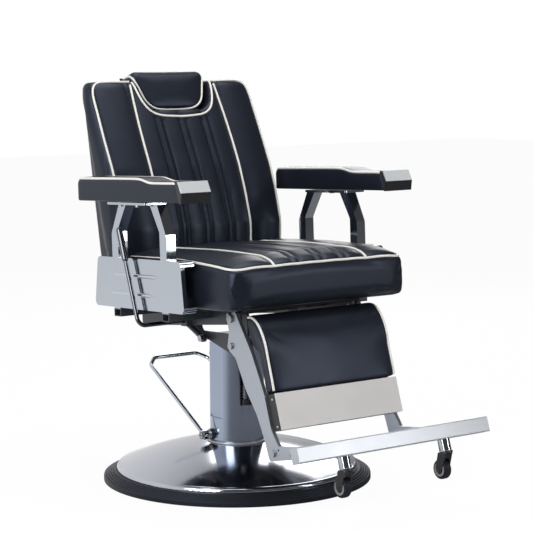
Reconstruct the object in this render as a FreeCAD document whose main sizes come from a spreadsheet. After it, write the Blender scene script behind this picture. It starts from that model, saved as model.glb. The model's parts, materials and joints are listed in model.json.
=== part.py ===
"""Hydraulic barber chair, in millimetres.

The floor is z = 0 and the column stands on the origin. The chair faces -Y, and the sitter's right hand
is at -X. Everything above the ram is drawn in the seat frame, which is tilted back by seat_tilt, and the
leg rest is drawn in its own frame, which hangs from its pivot on the seat rails.
"""
import FreeCAD, Part
import math
import os
import re

import Sketcher

from FreeCAD import Placement, Rotation, Vector

SIZES = {
    # Clearances
    "running_gap": 0.05, "seat_gap": 0.3,
    # Base: steel plate, chrome dome and rubber rim
    "base_radius": 350.0, "rubber_width": 34.0, "rubber_height": 26.0, "rubber_edge": 10.0,
    "rubber_rib_radius": 2.2, "rubber_rib_count": 5, "plate_thickness": 8.0,
    "dome_sphere_radius": 792.0, "dome_crown_height": 102.0, "dome_wall": 2.5, "dome_rim_radius": 9.0,
    # Pump column
    "column_radius": 71.0, "column_top": 358.0, "flat_distance": 65.0, "flat_bottom": 163.0,
    "flange_radius": 105.0, "flange_thickness": 12.0, "flange_bolt_circle": 86.0,
    "flange_bolt_radius": 8.0, "flange_bolt_count": 6, "flange_bolt_head": 7.0, "collar_width": 8.0,
    "collar_height": 4.0, "notch_angle": 14.5, "notch_width": 36.0, "notch_depth": 31.0,
    "notch_bottom": 200.0, "notch_top": 294.0, "gland_radius": 40.0, "gland_height": 5.0,
    # Lifting ram
    "ram_radius": 30.0, "ram_length": 236.0, "spindle_radius": 18.0, "spindle_length": 60.0,
    # Pump plunger in the notch
    "plunger_distance": 56.0, "plunger_radius": 6.0, "plunger_length": 96.0, "plunger_guide": 14.0,
    "plunger_travel": 12.0, "retainer_radius": 12.0, "retainer_height": 6.0,
    "plunger_collar_radius": 14.5, "plunger_collar_height": 14.0, "plunger_spring_radius": 9.2,
    "plunger_wire": 1.3, "plunger_spring_turns": 8,
    # Foot pedal
    "pedal_y": 15.0, "pedal_z": 118.0, "pedal_shaft_radius": 8.0, "pedal_half_width": 95.0,
    "pedal_length": 318.0, "pedal_angle": 31.5, "pedal_rod": 5.5, "pedal_corner": 26.0,
    "hub_radius": 13.0, "hub_width": 14.0, "pedal_screw_radius": 7.0, "pedal_screw_head": 3.0,
    "pedal_bearing_radius": 14.5, "pedal_bearing_reach": 75.0, "pedal_spring_radius": 11.5,
    "pedal_wire": 1.0, "pedal_spring_turns": 4,
    # Saddle between the ram and the seat frame
    "seat_pivot_height": 400.0, "seat_tilt": 2.5, "saddle_bottom": 366.0, "saddle_plate": 10.0,
    "saddle_inside": 75.0, "saddle_side": 5.0, "saddle_rear": 60.0, "saddle_front": 75.0,
    "strut_pin_y": 21.2, "strut_pin_z": 372.9, "saddle_nose_z": 333.0,
    # Seat frame
    "cross_front_y": -142.0, "cross_rear_y": 76.0, "cross_width": 30.0, "cross_height": 20.0,
    "cross_wall": 2.5, "cross_top": 466.0, "cross_overhang": 41.0, "rail_outside": 184.0,
    "rail_thickness": 10.0, "rail_front": -266.0, "rail_rear": 164.0, "rail_nose_z": 436.0,
    "rail_heel_z": 405.0, "rail_top": 468.0, "rail_ear": 13.5, "hinge_y": 150.0, "hinge_z": 490.0,
    "board_margin": 39.0, "board_front": -300.0, "board_rear": 102.0, "board_thickness": 6.0,
    "board_front_half_width": 182.0, "board_shoulder_y": -205.0,
    # Seat cushion
    "seat_half_width": 274.0, "seat_front": -370.0, "seat_rear": 108.0, "seat_edge": 602.0,
    "seat_front_drop": 16.0, "seat_nose": 216.0, "seat_crown": 16.0, "seat_corner": 60.0,
    "channel_pitch": 73.0, "channel_depth": 4.0, "panel_half_width": 144.0, "cushion_roll": 18.0,
    "cushion_bulge": 3.0,
    # Side panels, arm legs and armrests
    "panel_overhang": 5.0, "panel_depth": 40.0, "panel_wall": 2.0, "panel_return": 12.0,
    "panel_top": 597.0, "panel_bottom": 470.0, "panel_front_top": -220.0, "panel_front_bottom": -231.0,
    "panel_rear_top": 153.0, "panel_rear_bottom": 173.0, "panel_corner": 14.0, "louvre_radius": 5.0,
    "louvre_point": 26.0, "louvre_upper_z": 554.0, "louvre_upper_front": -129.0,
    "louvre_upper_rear": 72.0, "louvre_lower_z": 507.0, "louvre_lower_front": -101.0,
    "louvre_lower_rear": 88.0, "tube_size": 28.0, "arm_lean": 41.0, "arm_lean_height": 71.0,
    "arm_plate_top": 738.0, "arm_plate_thickness": 6.0, "arm_plate_width": 67.0,
    "arm_plate_length": 174.0, "arm_plate_y": -32.0, "arm_bolt_radius": 6.5, "arm_bolt_head": 5.0,
    "arm_bolt_offset": 22.0, "arm_bolt_spacing": 76.0, "armrest_gap": 1.0, "armrest_width": 85.0,
    "armrest_front": -267.0, "armrest_rear": 184.0, "armrest_top": 802.0, "armrest_front_top": 792.0,
    "armrest_step_y": -108.0, "armrest_round": 11.0, "armrest_step_length": 45.0,
    "armrest_front_lean": 16.0, "strip_length": 12.0, "cap_nose_length": 13.0, "cap_bottom_length": 9.0,
    "cap_thickness": 4.0, "cap_nose_z": 764.5,
    # Backrest and headrest
    "back_inset": 14.0, "back_bottom": 507.0, "back_top": 1044.0, "back_swell_top": 760.0,
    "back_swell_height": 260.0, "back_arm_x": 150.0, "back_arm_thickness": 8.0, "back_arm_width": 30.0,
    "back_arm_top": 620.0, "shaft_radius": 10.0, "lug_thickness": 6.0, "link_crank": 44.0,
    "link_crank_angle": 14.0, "strut_crank": 50.0, "strut_crank_angle": 35.6, "recess_bottom": 950.0,
    "recess_gap": 8.0, "recess_open": 260.0, "head_low_half": 90.0, "head_high_half": 118.0,
    "head_corner": 45.0, "head_top_corner": 16.0, "head_bottom": 12.0, "head_height": 116.0,
    "head_thickness": 60.0, "head_round": 13.0, "head_lean": 20.0, "head_y": 272.0, "stem_width": 30.0,
    "stem_thickness": 8.0, "stem_length": 150.0, "socket_wall": 4.0, "socket_length": 140.0,
    # Recline strut, leg link and lever
    "pin_radius": 4.0, "pin_head_radius": 8.0, "pin_head": 4.0, "strut_x": -92.0, "strut_radius": 7.5,
    "strut_tube_end": 118.0, "strut_bore_depth": 68.0, "strut_rod": 4.0, "strut_rod_engaged": 28.0,
    "strut_eye": 10.0, "strut_eye_play": 3.7, "strut_eye_width": 10.0, "link_width": 10.0,
    "link_height": 16.0, "link_play": 1.6, "link_dip": 13.0, "link_eye": 10.0, "lever_y": -51.0,
    "lever_z": 432.0, "lever_gap": 15.0, "lever_rod": 5.5, "lever_lean": 17.3, "lever_length": 246.0,
    "lever_bend": 20.0, "lever_inner_end": -70.0, "lever_grip": 8.0, "lever_grip_length": 74.0,
    "lever_block": 26.0, "lever_block_width": 16.0,
    # Leg rest
    "leg_pivot_y": -248.7, "leg_pivot_z": 450.6, "leg_hang": 15.5, "leg_pin_radius": 6.0,
    "leg_pin_head": 10.0, "leg_arm_inside": 186.0, "leg_arm_thickness": 10.0, "tie_y": 19.9,
    "tie_z": -64.4, "tie_radius": 8.0, "leg_pad_half_width": 197.0, "leg_pad_crown": 5.0,
    "leg_pad_back": -80.0, "leg_pad_front": -112.0, "leg_pad_top": -46.0, "leg_pad_bottom": -205.0,
    "kick_half_width": 190.0, "kick_bottom": -293.0, "kick_thickness": 2.0, "kick_front": -110.0,
    "leg_sheet": 5.0,
    # Footrest bar and its casters
    "toe_bolt_y": -67.0, "toe_bolt_z": -343.0, "toe_end_y": -139.0, "toe_end_z": -355.0,
    "toe_half_height": 14.0, "bar_y": -279.0, "bar_z": -367.0, "bar_half_length": 294.0,
    "bar_height": 37.0, "bar_depth": 28.0, "bar_wall": 2.5, "foot_link_thickness": 6.0,
    "bumper_length": 28.0, "bumper_radius": 12.5, "bumper_x": 199.0, "bumper_slant": 9.5,
    "bolt_head_radius": 8.0, "bolt_head_height": 5.0, "caster_x": 155.0, "caster_stem_y": -276.0,
    "caster_stem_radius": 15.0, "caster_stem_length": 28.0, "wheel_trail": 25.0, "wheel_drop": 40.0,
    "wheel_radius": 24.0, "wheel_width": 20.0, "axle_radius": 4.0, "fork_gap": 0.8, "fork_cheek": 2.6,
    "fork_crown": 6.0, "fork_radius": 16.5,
}

doc = FreeCAD.newDocument("barber_chair")
sheet = doc.addObject("Spreadsheet::Sheet", "Sizes")
for row, (alias, number) in enumerate(SIZES.items(), start=1):
    sheet.set("A%d" % row, alias)
    sheet.set("B%d" % row, str(number))
    sheet.setAlias("B%d" % row, alias)
doc.recompute()

X_AXIS = Vector(1, 0, 0)
Y_AXIS = Vector(0, 1, 0)
Z_AXIS = Vector(0, 0, 1)
nodes = {}


# Sizes, frames and outlines

def size(words):
    """Value of a cell of the sheet, or of a sum on its aliases."""
    return float(sheet.evalExpression(words))


def bound(words):
    """The same sum as an expression that any other object of the document can hold."""
    return re.sub(r"[a-z_]+", lambda word: "Sizes." + word.group(), words)


def shifted(x=0.0, y=0.0, z=0.0):
    """Placement that only moves."""
    return Placement(Vector(x, y, z), Rotation())


def turned(axis, degrees, x=0.0, y=0.0, z=0.0):
    """Placement that turns about an axis and then moves."""
    return Placement(Vector(x, y, z), Rotation(axis, degrees))


FLOOR = shifted()
SEAT = turned(X_AXIS, -size("seat_tilt"), z=size("seat_pivot_height")) * shifted(z=-size("seat_pivot_height"))
LEG = SEAT * turned(X_AXIS, -size("leg_hang"), y=size("leg_pivot_y"), z=size("leg_pivot_z"))
HEAD = SEAT * turned(X_AXIS, -size("head_lean"), y=size("head_y"), z=size("recess_bottom"))
LEVER = SEAT * turned(X_AXIS, -size("lever_lean"), y=size("lever_y"), z=size("lever_z"))


def hinge_point(crank, angle):
    """Point of a crank on the backrest's hinge, at an angle behind straight down."""
    turn = math.radians(size(angle))
    return (size("hinge_y") + size(crank) * math.sin(turn), size("hinge_z") - size(crank) * math.cos(turn))


def leg_point(y, z):
    """Point of the leg rest, brought into the seat frame."""
    turn = math.radians(size("leg_hang"))
    return (size("leg_pivot_y") + y * math.cos(turn) + z * math.sin(turn),
            size("leg_pivot_z") - y * math.sin(turn) + z * math.cos(turn))


def rounded(corners):
    """Edges of a closed outline whose corners (u, v, radius) are rounded with tangent arcs."""
    count = len(corners)
    stretches = []
    for i, (u, v, radius) in enumerate(corners):
        here = Vector(u, v, 0)
        back = (Vector(*corners[i - 1][:2], 0) - here).normalize()
        ahead = (Vector(*corners[(i + 1) % count][:2], 0) - here).normalize()
        half = back.getAngle(ahead) / 2
        if radius <= 0:
            stretches.append((here, None, here))
            continue
        reach = radius / math.tan(half)
        top = here + (back + ahead).normalize() * (radius / math.sin(half) - radius)
        stretches.append((here + back * reach, top, here + ahead * reach))
    edges = []
    for i, (start, top, end) in enumerate(stretches):
        if top is not None:
            edges.append(Part.Arc(start, top, end))
        following = stretches[(i + 1) % count][0]
        if end.distanceToPoint(following) > 1e-6:
            edges.append(Part.LineSegment(end, following))
    return edges


def circle(u, v, radius):
    """One full circle, whose radius is a sum on the sheet's aliases."""
    return [(Part.Circle(Vector(u, v, 0), Z_AXIS, size(radius)), bound(radius))]


def rectangle(u_low, v_low, u_high, v_high, radius=0.0):
    """Rectangle, with its corners rounded if a radius is given."""
    return rounded([(u_low, v_low, radius), (u_high, v_low, radius),
                    (u_high, v_high, radius), (u_low, v_high, radius)])


def strap(u1, v1, r1, u2, v2, r2):
    """Outline round two discs: two arcs and their common tangents."""
    first, second = Vector(u1, v1, 0), Vector(u2, v2, 0)
    along = (second - first).normalize()
    lean = math.acos((r1 - r2) / first.distanceToPoint(second))

    def on(centre, radius, turn):
        return centre + Vector(along.x * math.cos(turn) - along.y * math.sin(turn),
                               along.x * math.sin(turn) + along.y * math.cos(turn), 0) * radius

    a, b = on(first, r1, lean), on(first, r1, -lean)
    c, d = on(second, r2, -lean), on(second, r2, lean)
    return [Part.Arc(a, first - along * r1, b), Part.LineSegment(b, c),
            Part.Arc(c, second + along * r2, d), Part.LineSegment(d, a)]


def mirrored_sides():
    """Name and sign of the sitter's right and left."""
    return (("right", -1), ("left", 1))


# Ways of making a sub-part

def keep(obj, label):
    """Give a finished sub-part its name, which is also its file's name."""
    obj.Label = label
    nodes[label] = obj
    return obj


def body(name, frame):
    """Empty body, placed in the frame that its sub-part is drawn in."""
    made = doc.addObject("PartDesign::Body", name)
    made.Placement = frame
    return made


def sketch(owner, role, outlines, offset=0.0):
    """Sketch on one of the body's own origin planes, pushed along the plane's normal."""
    made = owner.newObject("Sketcher::SketchObject", owner.Name + "_sketch")
    plane = next(feature for feature in owner.Origin.OriginFeatures if feature.Role == role)
    made.AttachmentSupport = [(plane, "")]
    made.MapMode = "FlatFace"
    made.AttachmentOffset = shifted(z=offset)
    for outline in outlines:
        for entry in outline:
            if not isinstance(entry, tuple):
                made.addGeometry(entry, False)
                continue
            edge = made.addGeometry(entry[0], False)
            index = made.addConstraint(Sketcher.Constraint("Radius", edge, entry[0].Radius))
            made.renameConstraint(index, "radius_%d" % edge)
            made.setExpression("Constraints.radius_%d" % edge, entry[1])
    return made


def pad(owner, role, outlines, length, offset=0.0):
    """Pad of a sketch, whose length is a sum on the sheet's aliases."""
    made = owner.newObject("PartDesign::Pad", owner.Name + "_pad")
    made.Profile = sketch(owner, role, outlines, offset)
    made.setExpression("Length", bound(length))
    doc.recompute()
    return made


def pocket(owner, role, outlines, length, offset=0.0):
    """Pocket along the normal of its plane, which has to take material away."""
    before = owner.Shape.Volume
    made = owner.newObject("PartDesign::Pocket", owner.Name + "_pocket")
    made.Profile = sketch(owner, role, outlines, offset)
    made.setExpression("Length", bound(length))
    made.Reversed = True
    doc.recompute()
    if owner.Shape.Volume > before - 1e-3:
        raise ValueError("a pocket of %s cuts nothing" % owner.Name)
    return made


def round_edges(owner, edges, radius):
    """Fillet on named edges of the body's last feature."""
    carrier = owner.Tip
    made = owner.newObject("PartDesign::Fillet", owner.Name + "_rounding")
    made.Base = (carrier, edges)
    made.setExpression("Radius", bound(radius))
    doc.recompute()
    return made


def plate(name, frame, role, outlines, length, offset=0.0):
    """Body that is one pad."""
    owner = body(name, frame)
    pad(owner, role, outlines, length, offset)
    return owner


def turning(name, frame, profile, angle=360.0):
    """Body turned about its own Z axis, or about half of it to each side of the drawing plane."""
    owner = body(name, frame)
    made = owner.newObject("PartDesign::Revolution", name + "_turning")
    made.Profile = sketch(owner, "XZ_Plane", [profile])
    made.ReferenceAxis = (made.Profile[0], ["V_Axis"])
    made.Midplane = angle < 360.0
    made.Angle = angle
    doc.recompute()
    return owner


def loft(name, frame, role, sections):
    """Body lofted through (offset, outline) sections on parallel planes."""
    owner = body(name, frame)
    drawn = [sketch(owner, role, [outline], offset) for offset, outline in sections]
    made = owner.newObject("PartDesign::AdditiveLoft", name + "_loft")
    made.Profile = drawn[0]
    made.Sections = drawn[1:]
    made.Ruled = True
    doc.recompute()
    return owner


def swept(name, frame, path, role, outline, offset=0.0):
    """Body swept along a path of lines and arcs in its XY or XZ plane."""
    owner = body(name, frame)
    spine = sketch(owner, path[0], [path[1]])
    made = owner.newObject("PartDesign::AdditivePipe", name + "_pipe")
    made.Profile = sketch(owner, role, [outline], offset)
    made.Spine = spine
    doc.recompute()
    return owner


def bent_path(points, bend):
    """Lines through the points, joined by tangent arcs that start a given way before each corner."""
    points = [Vector(u, v, 0) for u, v in points]
    here = points[0]
    edges = []
    for before, at, after in zip(points, points[1:], points[2:]):
        back, ahead = (before - at).normalize(), (after - at).normalize()
        half = back.getAngle(ahead) / 2
        start, end = at + back * bend, at + ahead * bend
        radius = bend * math.tan(half)
        middle = at + (back + ahead).normalize() * (radius / math.sin(half) - radius)
        edges += [Part.LineSegment(here, start), Part.Arc(start, middle, end)]
        here = end
    return edges + [Part.LineSegment(here, points[-1])]


def primitive(kind, frame, **sums):
    """Part primitive whose dimensions are sums on the sheet's aliases."""
    made = doc.addObject("Part::" + kind, kind)
    for name, words in sums.items():
        made.setExpression(name, bound(words))
    made.Placement = frame
    return made


def rod(frame, x, y, z, radius, length):
    """Cylinder from a point of a frame towards its +X."""
    return primitive("Cylinder", frame * turned(Y_AXIS, 90, x, y, z), Radius=radius, Height=length)


def block(frame, x, y, z, length, width, height):
    """Box whose low corner is at a point of a frame."""
    return primitive("Box", frame * shifted(x, y, z), Length=length, Width=width, Height=height)


def combined(kind, shapes):
    """Fusion, intersection or difference of document objects."""
    made = doc.addObject("Part::" + kind, kind)
    if kind == "Cut":
        made.Base, made.Tool = shapes
    else:
        made.Shapes = shapes
    doc.recompute()
    return made


def fused(shapes):
    """One piece made of several."""
    return combined("MultiFuse", shapes)


def less(base_shape, tools):
    """A piece with other shapes taken out of it."""
    return combined("Cut", [base_shape, tools[0] if len(tools) == 1 else fused(tools)])


def group(label, shapes):
    """Separate solids that share one node."""
    made = doc.addObject("Part::Compound", label)
    made.Links = shapes
    doc.recompute()
    return keep(made, label)


def biarc(start, start_way, end, end_way):
    """Two tangent arcs that join two points with given directions."""
    span = end - start
    along = span.dot(start_way + end_way)
    spread = 2 * (1 - start_way.dot(end_way))
    reach = (-along + math.sqrt(along * along + spread * span.dot(span))) / spread
    corners = (start + start_way * reach, end - end_way * reach)
    joint = (corners[0] + corners[1]) * 0.5
    arcs = []
    for low, corner, high in ((start, corners[0], joint), (joint, corners[1], end)):
        half = (low - corner).getAngle(high - corner) / 2
        radius = reach * math.tan(half)
        inward = ((low + high) * 0.5 - corner).normalize()
        arcs.append(Part.Arc(low, corner + inward * (radius / math.sin(half) - radius), high))
    return arcs


def coil_tube(label, frame, radius, wire, turns, length):
    """Wire wound about +Z as one unbroken tube, with straight ends one wire diameter long."""
    def point(turn):
        angle = 2 * math.pi * turn
        return Vector(radius * math.cos(angle), radius * math.sin(angle), length * turn / turns)

    def way(turn):
        angle = 2 * math.pi * turn
        climb = length / turns / (2 * math.pi)
        return Vector(-radius * math.sin(angle), radius * math.cos(angle), climb).normalize()

    edges = [Part.LineSegment(point(0) - way(0) * 2 * wire, point(0))]
    for half_turn in range(2 * turns):
        low, high = half_turn / 2, (half_turn + 1) / 2
        edges += biarc(point(low), way(low), point(high), way(high))
    edges.append(Part.LineSegment(point(turns), point(turns) + way(turns) * 2 * wire))
    ring = Part.Wire([Part.Circle(edges[0].StartPoint, way(0), wire).toShape()])
    made = doc.addObject("Part::Feature", label)
    made.Shape = Part.Wire([edge.toShape() for edge in edges]).makePipeShell([ring], True, False)
    made.Placement = frame
    steps = 72
    line = [point(step / steps) for step in range(steps * turns + 1)]
    nearest = min(line[0].distanceToPoint(spot) for spot in line[steps // 2:])
    print("%s: least gap between curls %.2f mm" % (label, nearest - 2 * wire))
    return keep(made, label)


# Base

def dome_height(radius, inset=0.0):
    """Height of the dome's sphere at a distance from the axis."""
    ball = size("dome_sphere_radius")
    return size("dome_crown_height") - ball + math.sqrt((ball - inset) ** 2 - radius ** 2)


def base():
    """Steel plate, chrome dome and ribbed rubber rim."""
    rim = size("base_radius - rubber_width")
    keep(primitive("Cylinder", FLOOR, Radius="base_radius - rubber_width - seat_gap",
                   Height="plate_thickness"), "base_plate")

    wall = size("dome_wall")
    roll = size("dome_rim_radius")
    hole = size("column_radius + seat_gap")
    lip = size("plate_thickness")
    shoulder = rim - roll
    middle = (hole + shoulder) / 2
    top = dome_height(shoulder)
    foot = top - 1.25 * roll
    outside = [Vector(hole, dome_height(hole), 0), Vector(middle, dome_height(middle), 0),
               Vector(shoulder, top, 0), Vector(rim - 0.22 * roll, top - 0.42 * roll, 0),
               Vector(rim, foot, 0), Vector(rim, lip, 0)]
    inside = [Vector(hole, dome_height(hole) - wall, 0), Vector(middle, dome_height(middle, wall), 0),
              Vector(shoulder - 0.3 * wall, top - wall, 0),
              Vector(rim - 0.22 * roll - 0.75 * wall, top - 0.42 * roll - 0.75 * wall, 0),
              Vector(rim - wall, foot, 0), Vector(rim - wall, lip, 0)]
    profile = [Part.Arc(*outside[0:3]), Part.Arc(*outside[2:5]), Part.LineSegment(*outside[4:6]),
               Part.LineSegment(outside[5], inside[5])]
    profile += [Part.LineSegment(inside[i], inside[i - 1]) for i in range(5, 0, -1)]
    profile.append(Part.LineSegment(inside[0], outside[0]))
    keep(turning("base_dome", FLOOR, profile), "base_dome")

    inner = size("base_radius - rubber_width + seat_gap")
    outer = size("base_radius")
    count = int(size("rubber_rib_count"))
    here = Vector(outer, size("rubber_edge"), 0)
    pitch = (Vector(inner + 4, size("rubber_height"), 0) - here) / count
    bulge = Vector(pitch.y, -pitch.x, 0).normalize() * size("rubber_rib_radius")
    profile = [Part.LineSegment(Vector(inner, 0, 0), Vector(outer, 0, 0)),
               Part.LineSegment(Vector(outer, 0, 0), here)]
    for _ in range(count):
        crests = (here + pitch * 0.3 + bulge, here + pitch * 0.7 + bulge, here + pitch)
        for crest in crests:
            profile.append(Part.LineSegment(here, crest))
            here = crest
    profile.append(Part.LineSegment(here, Vector(inner, here.y, 0)))
    profile.append(Part.LineSegment(Vector(inner, here.y, 0), Vector(inner, 0, 0)))
    keep(turning("rubber_ring", FLOOR, profile), "rubber_ring")

    outer = hole + size("collar_width")
    foot = dome_height(hole) + 0.2
    profile = rounded([(hole, foot, 0), (outer, foot, 0), (outer, foot + size("collar_height"), 3),
                       (hole, foot + size("collar_height"), 0)])
    keep(turning("foot_collar", FLOOR, profile), "foot_collar")


def notch_direction():
    """Unit vector from the column's axis to the plunger."""
    turn = math.radians(-90 - size("notch_angle"))
    return Vector(math.cos(turn), math.sin(turn), 0)


def column():
    """Pump housing with its flange, side flat, plunger notch and bores, and what is bolted to it."""
    owner = body("pump_housing", FLOOR)
    foot = size("plate_thickness")
    pad(owner, "XY_Plane", [circle(0, 0, "flange_radius")], "flange_thickness", foot)
    pad(owner, "XY_Plane", [circle(0, 0, "column_radius")], "column_top - plate_thickness", foot)
    far = size("column_radius + 10")
    pocket(owner, "XY_Plane", [rectangle(-far, -far, -size("flat_distance"), far)],
           "column_top - flat_bottom + 10", size("flat_bottom"))
    outward = notch_direction()
    across = Vector(-outward.y, outward.x, 0) * size("notch_width / 2")
    deep = outward * size("column_radius - notch_depth")
    corners = [deep - across, deep + across, outward * far + across, outward * far - across]
    pocket(owner, "XY_Plane", [rounded([(c.x, c.y, 0) for c in corners])],
           "notch_top - notch_bottom", size("notch_bottom"))
    pocket(owner, "XY_Plane", [circle(0, 0, "ram_radius + running_gap")],
           "ram_length + 10", size("saddle_bottom - seat_gap - ram_length - 2"))
    plunger = outward * size("plunger_distance")
    pocket(owner, "XY_Plane", [circle(plunger.x, plunger.y, "plunger_radius + running_gap")],
           "plunger_guide + plunger_travel + 3", size("notch_bottom - plunger_guide - plunger_travel - 3"))
    pocket(owner, "YZ_Plane", [circle(size("pedal_y"), size("pedal_z"),
                                      "pedal_shaft_radius + running_gap")],
           "2 * column_radius + 4", -size("column_radius + 2"))
    keep(owner, "pump_housing")

    count = int(size("flange_bolt_count"))
    seat = size("plate_thickness + flange_thickness")
    bolts = []
    for k in range(count):
        place = turned(Z_AXIS, 360.0 * k / count) * shifted(size("flange_bolt_circle"), 0, seat)
        head = primitive("Prism", place, Circumradius="flange_bolt_radius", Height="flange_bolt_head")
        head.Polygon = 6
        bolts.append(head)
    group("flange_bolts", bolts)

    top = shifted(z=size("column_top"))
    ring = primitive("Cylinder", top, Radius="gland_radius", Height="gland_height")
    bore = primitive("Cylinder", top, Radius="ram_radius + running_gap", Height="gland_height")
    keep(less(ring, [bore]), "gland_ring")

    foot = size("saddle_bottom - seat_gap - ram_length")
    owner = plate("ram", FLOOR, "XY_Plane", [circle(0, 0, "ram_radius")], "ram_length", foot)
    pocket(owner, "XY_Plane", [circle(0, 0, "spindle_radius + running_gap")],
           "spindle_length + 12", size("saddle_bottom - spindle_length - 2"))
    keep(owner, "ram")


def pump_plunger():
    """Plunger, its collar and its return spring, in the notch of the column."""
    spot = notch_direction() * size("plunger_distance")
    floor = size("notch_bottom")
    foot = shifted(spot.x, spot.y, floor - size("plunger_guide"))
    head = floor + size("plunger_length - plunger_guide - retainer_height")
    stem = primitive("Cylinder", foot, Radius="plunger_radius", Height="plunger_length")
    retainer = primitive("Cylinder", shifted(spot.x, spot.y, head), Radius="retainer_radius",
                         Height="retainer_height")
    keep(fused([stem, retainer]), "pump_plunger")

    place = shifted(spot.x, spot.y, floor)
    collar = primitive("Cylinder", place, Radius="plunger_collar_radius", Height="plunger_collar_height")
    bore = primitive("Cylinder", place, Radius="plunger_radius + running_gap",
                     Height="plunger_collar_height")
    keep(less(collar, [bore]), "plunger_collar")

    wire = size("plunger_wire")
    low = floor + size("plunger_collar_height + plunger_wire + seat_gap")
    high = head - size("plunger_wire + seat_gap")
    coil_tube("plunger_spring", shifted(spot.x, spot.y, low), size("plunger_spring_radius"), wire,
              int(size("plunger_spring_turns")), high - low)


def pedal():
    """U-shaped foot pedal on its shaft through the foot of the column."""
    half = size("pedal_half_width")
    reach = size("pedal_length")
    corner = size("pedal_corner")
    frame = turned(X_AXIS, size("pedal_angle"), y=size("pedal_y"), z=size("pedal_z"))
    points = [(-half, 0), (-half, reach - corner), (-half + corner, reach),
              (half - corner, reach), (half, reach - corner), (half, 0)]
    bail = swept("pedal_bar", frame, ("XY_Plane", bent_path(points, corner * 0.35)),
                 "XZ_Plane", circle(-half, 0, "pedal_rod"))
    y, z = size("pedal_y"), size("pedal_z")
    inner = size("pedal_half_width - hub_width / 2")
    hubs = [rod(FLOOR, inner, y, z, "hub_radius", "hub_width"),
            rod(FLOOR, -half - size("hub_width / 2"), y, z, "hub_radius", "hub_width")]
    bore = rod(FLOOR, -half - size("hub_width"), y, z, "pedal_shaft_radius",
               "2 * (pedal_half_width + hub_width)")
    keep(less(fused([bail] + hubs), [bore]), "pedal_bail")

    end = half + size("hub_width / 2")
    shaft = rod(FLOOR, -end, y, z, "pedal_shaft_radius", "2 * pedal_half_width + hub_width")
    heads = [rod(FLOOR, end, y, z, "hub_radius - 2", "pedal_screw_head"),
             rod(FLOOR, -end - size("pedal_screw_head"), y, z, "hub_radius - 2", "pedal_screw_head")]
    keep(fused([shaft] + heads), "pedal_shaft")

    reach = size("pedal_bearing_reach")
    bearings = fused([rod(FLOOR, 10, y, z, "pedal_bearing_radius", "pedal_bearing_reach - 10"),
                      rod(FLOOR, -reach, y, z, "pedal_bearing_radius", "pedal_bearing_reach - 10")])
    inside = primitive("Cylinder", FLOOR, Radius="column_radius + running_gap", Height="column_top")
    hole = rod(FLOOR, -reach - 1, y, z, "pedal_shaft_radius + running_gap", "2 * pedal_bearing_reach + 2")
    keep(less(bearings, [inside, hole]), "pedal_bearings")

    wire = size("pedal_wire")
    start = size("pedal_bearing_reach + pedal_wire + seat_gap")
    length = inner - size("pedal_wire + seat_gap") - start
    coil_tube("pedal_spring", turned(Y_AXIS, -90, -start, y, z), size("pedal_spring_radius"), wire,
              int(size("pedal_spring_turns")), length)


# Seat frame

def saddle():
    """Dark bracket that carries the seat frame on the ram, with its spindle and the strut's pin."""
    inside = size("saddle_inside")
    low = size("saddle_bottom")
    front, rear = -size("saddle_front"), size("saddle_rear")
    deck = plate("saddle_deck", FLOOR, "XY_Plane", [rectangle(-inside, front, inside, rear)],
                 "saddle_plate", low)
    spindle = primitive("Cylinder", shifted(z=low - size("spindle_length")), Radius="spindle_radius",
                        Height="spindle_length")
    half = size("cross_width / 2")
    top = size("cross_top - cross_height")
    front_y, rear_y = size("cross_front_y"), size("cross_rear_y")
    heel = low + size("saddle_plate") * 0.3 + rear * math.tan(math.radians(size("seat_tilt")))
    corners = [(rear_y + half, top, 0), (rear_y - half, top, 0), (rear_y - half - 18, low + 24, 12),
               (front_y + half + 14, low + 24, 12), (front_y + half, top, 0), (front_y - half, top, 0),
               (front_y - half, size("saddle_nose_z") + 54, 10), (front_y + 34, size("saddle_nose_z"), 10),
               (front_y + 60, size("saddle_nose_z") + 6, 8), (rear - 36, heel, 0), (rear + 14, heel, 16)]
    sides = [plate("saddle_side_right", SEAT, "YZ_Plane", [rounded(corners)], "saddle_side",
                   -size("saddle_inside + saddle_side")),
             plate("saddle_side_left", SEAT, "YZ_Plane", [rounded(corners)], "saddle_side", inside)]
    keep(fused([deck, spindle] + sides), "saddle_bracket")


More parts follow.
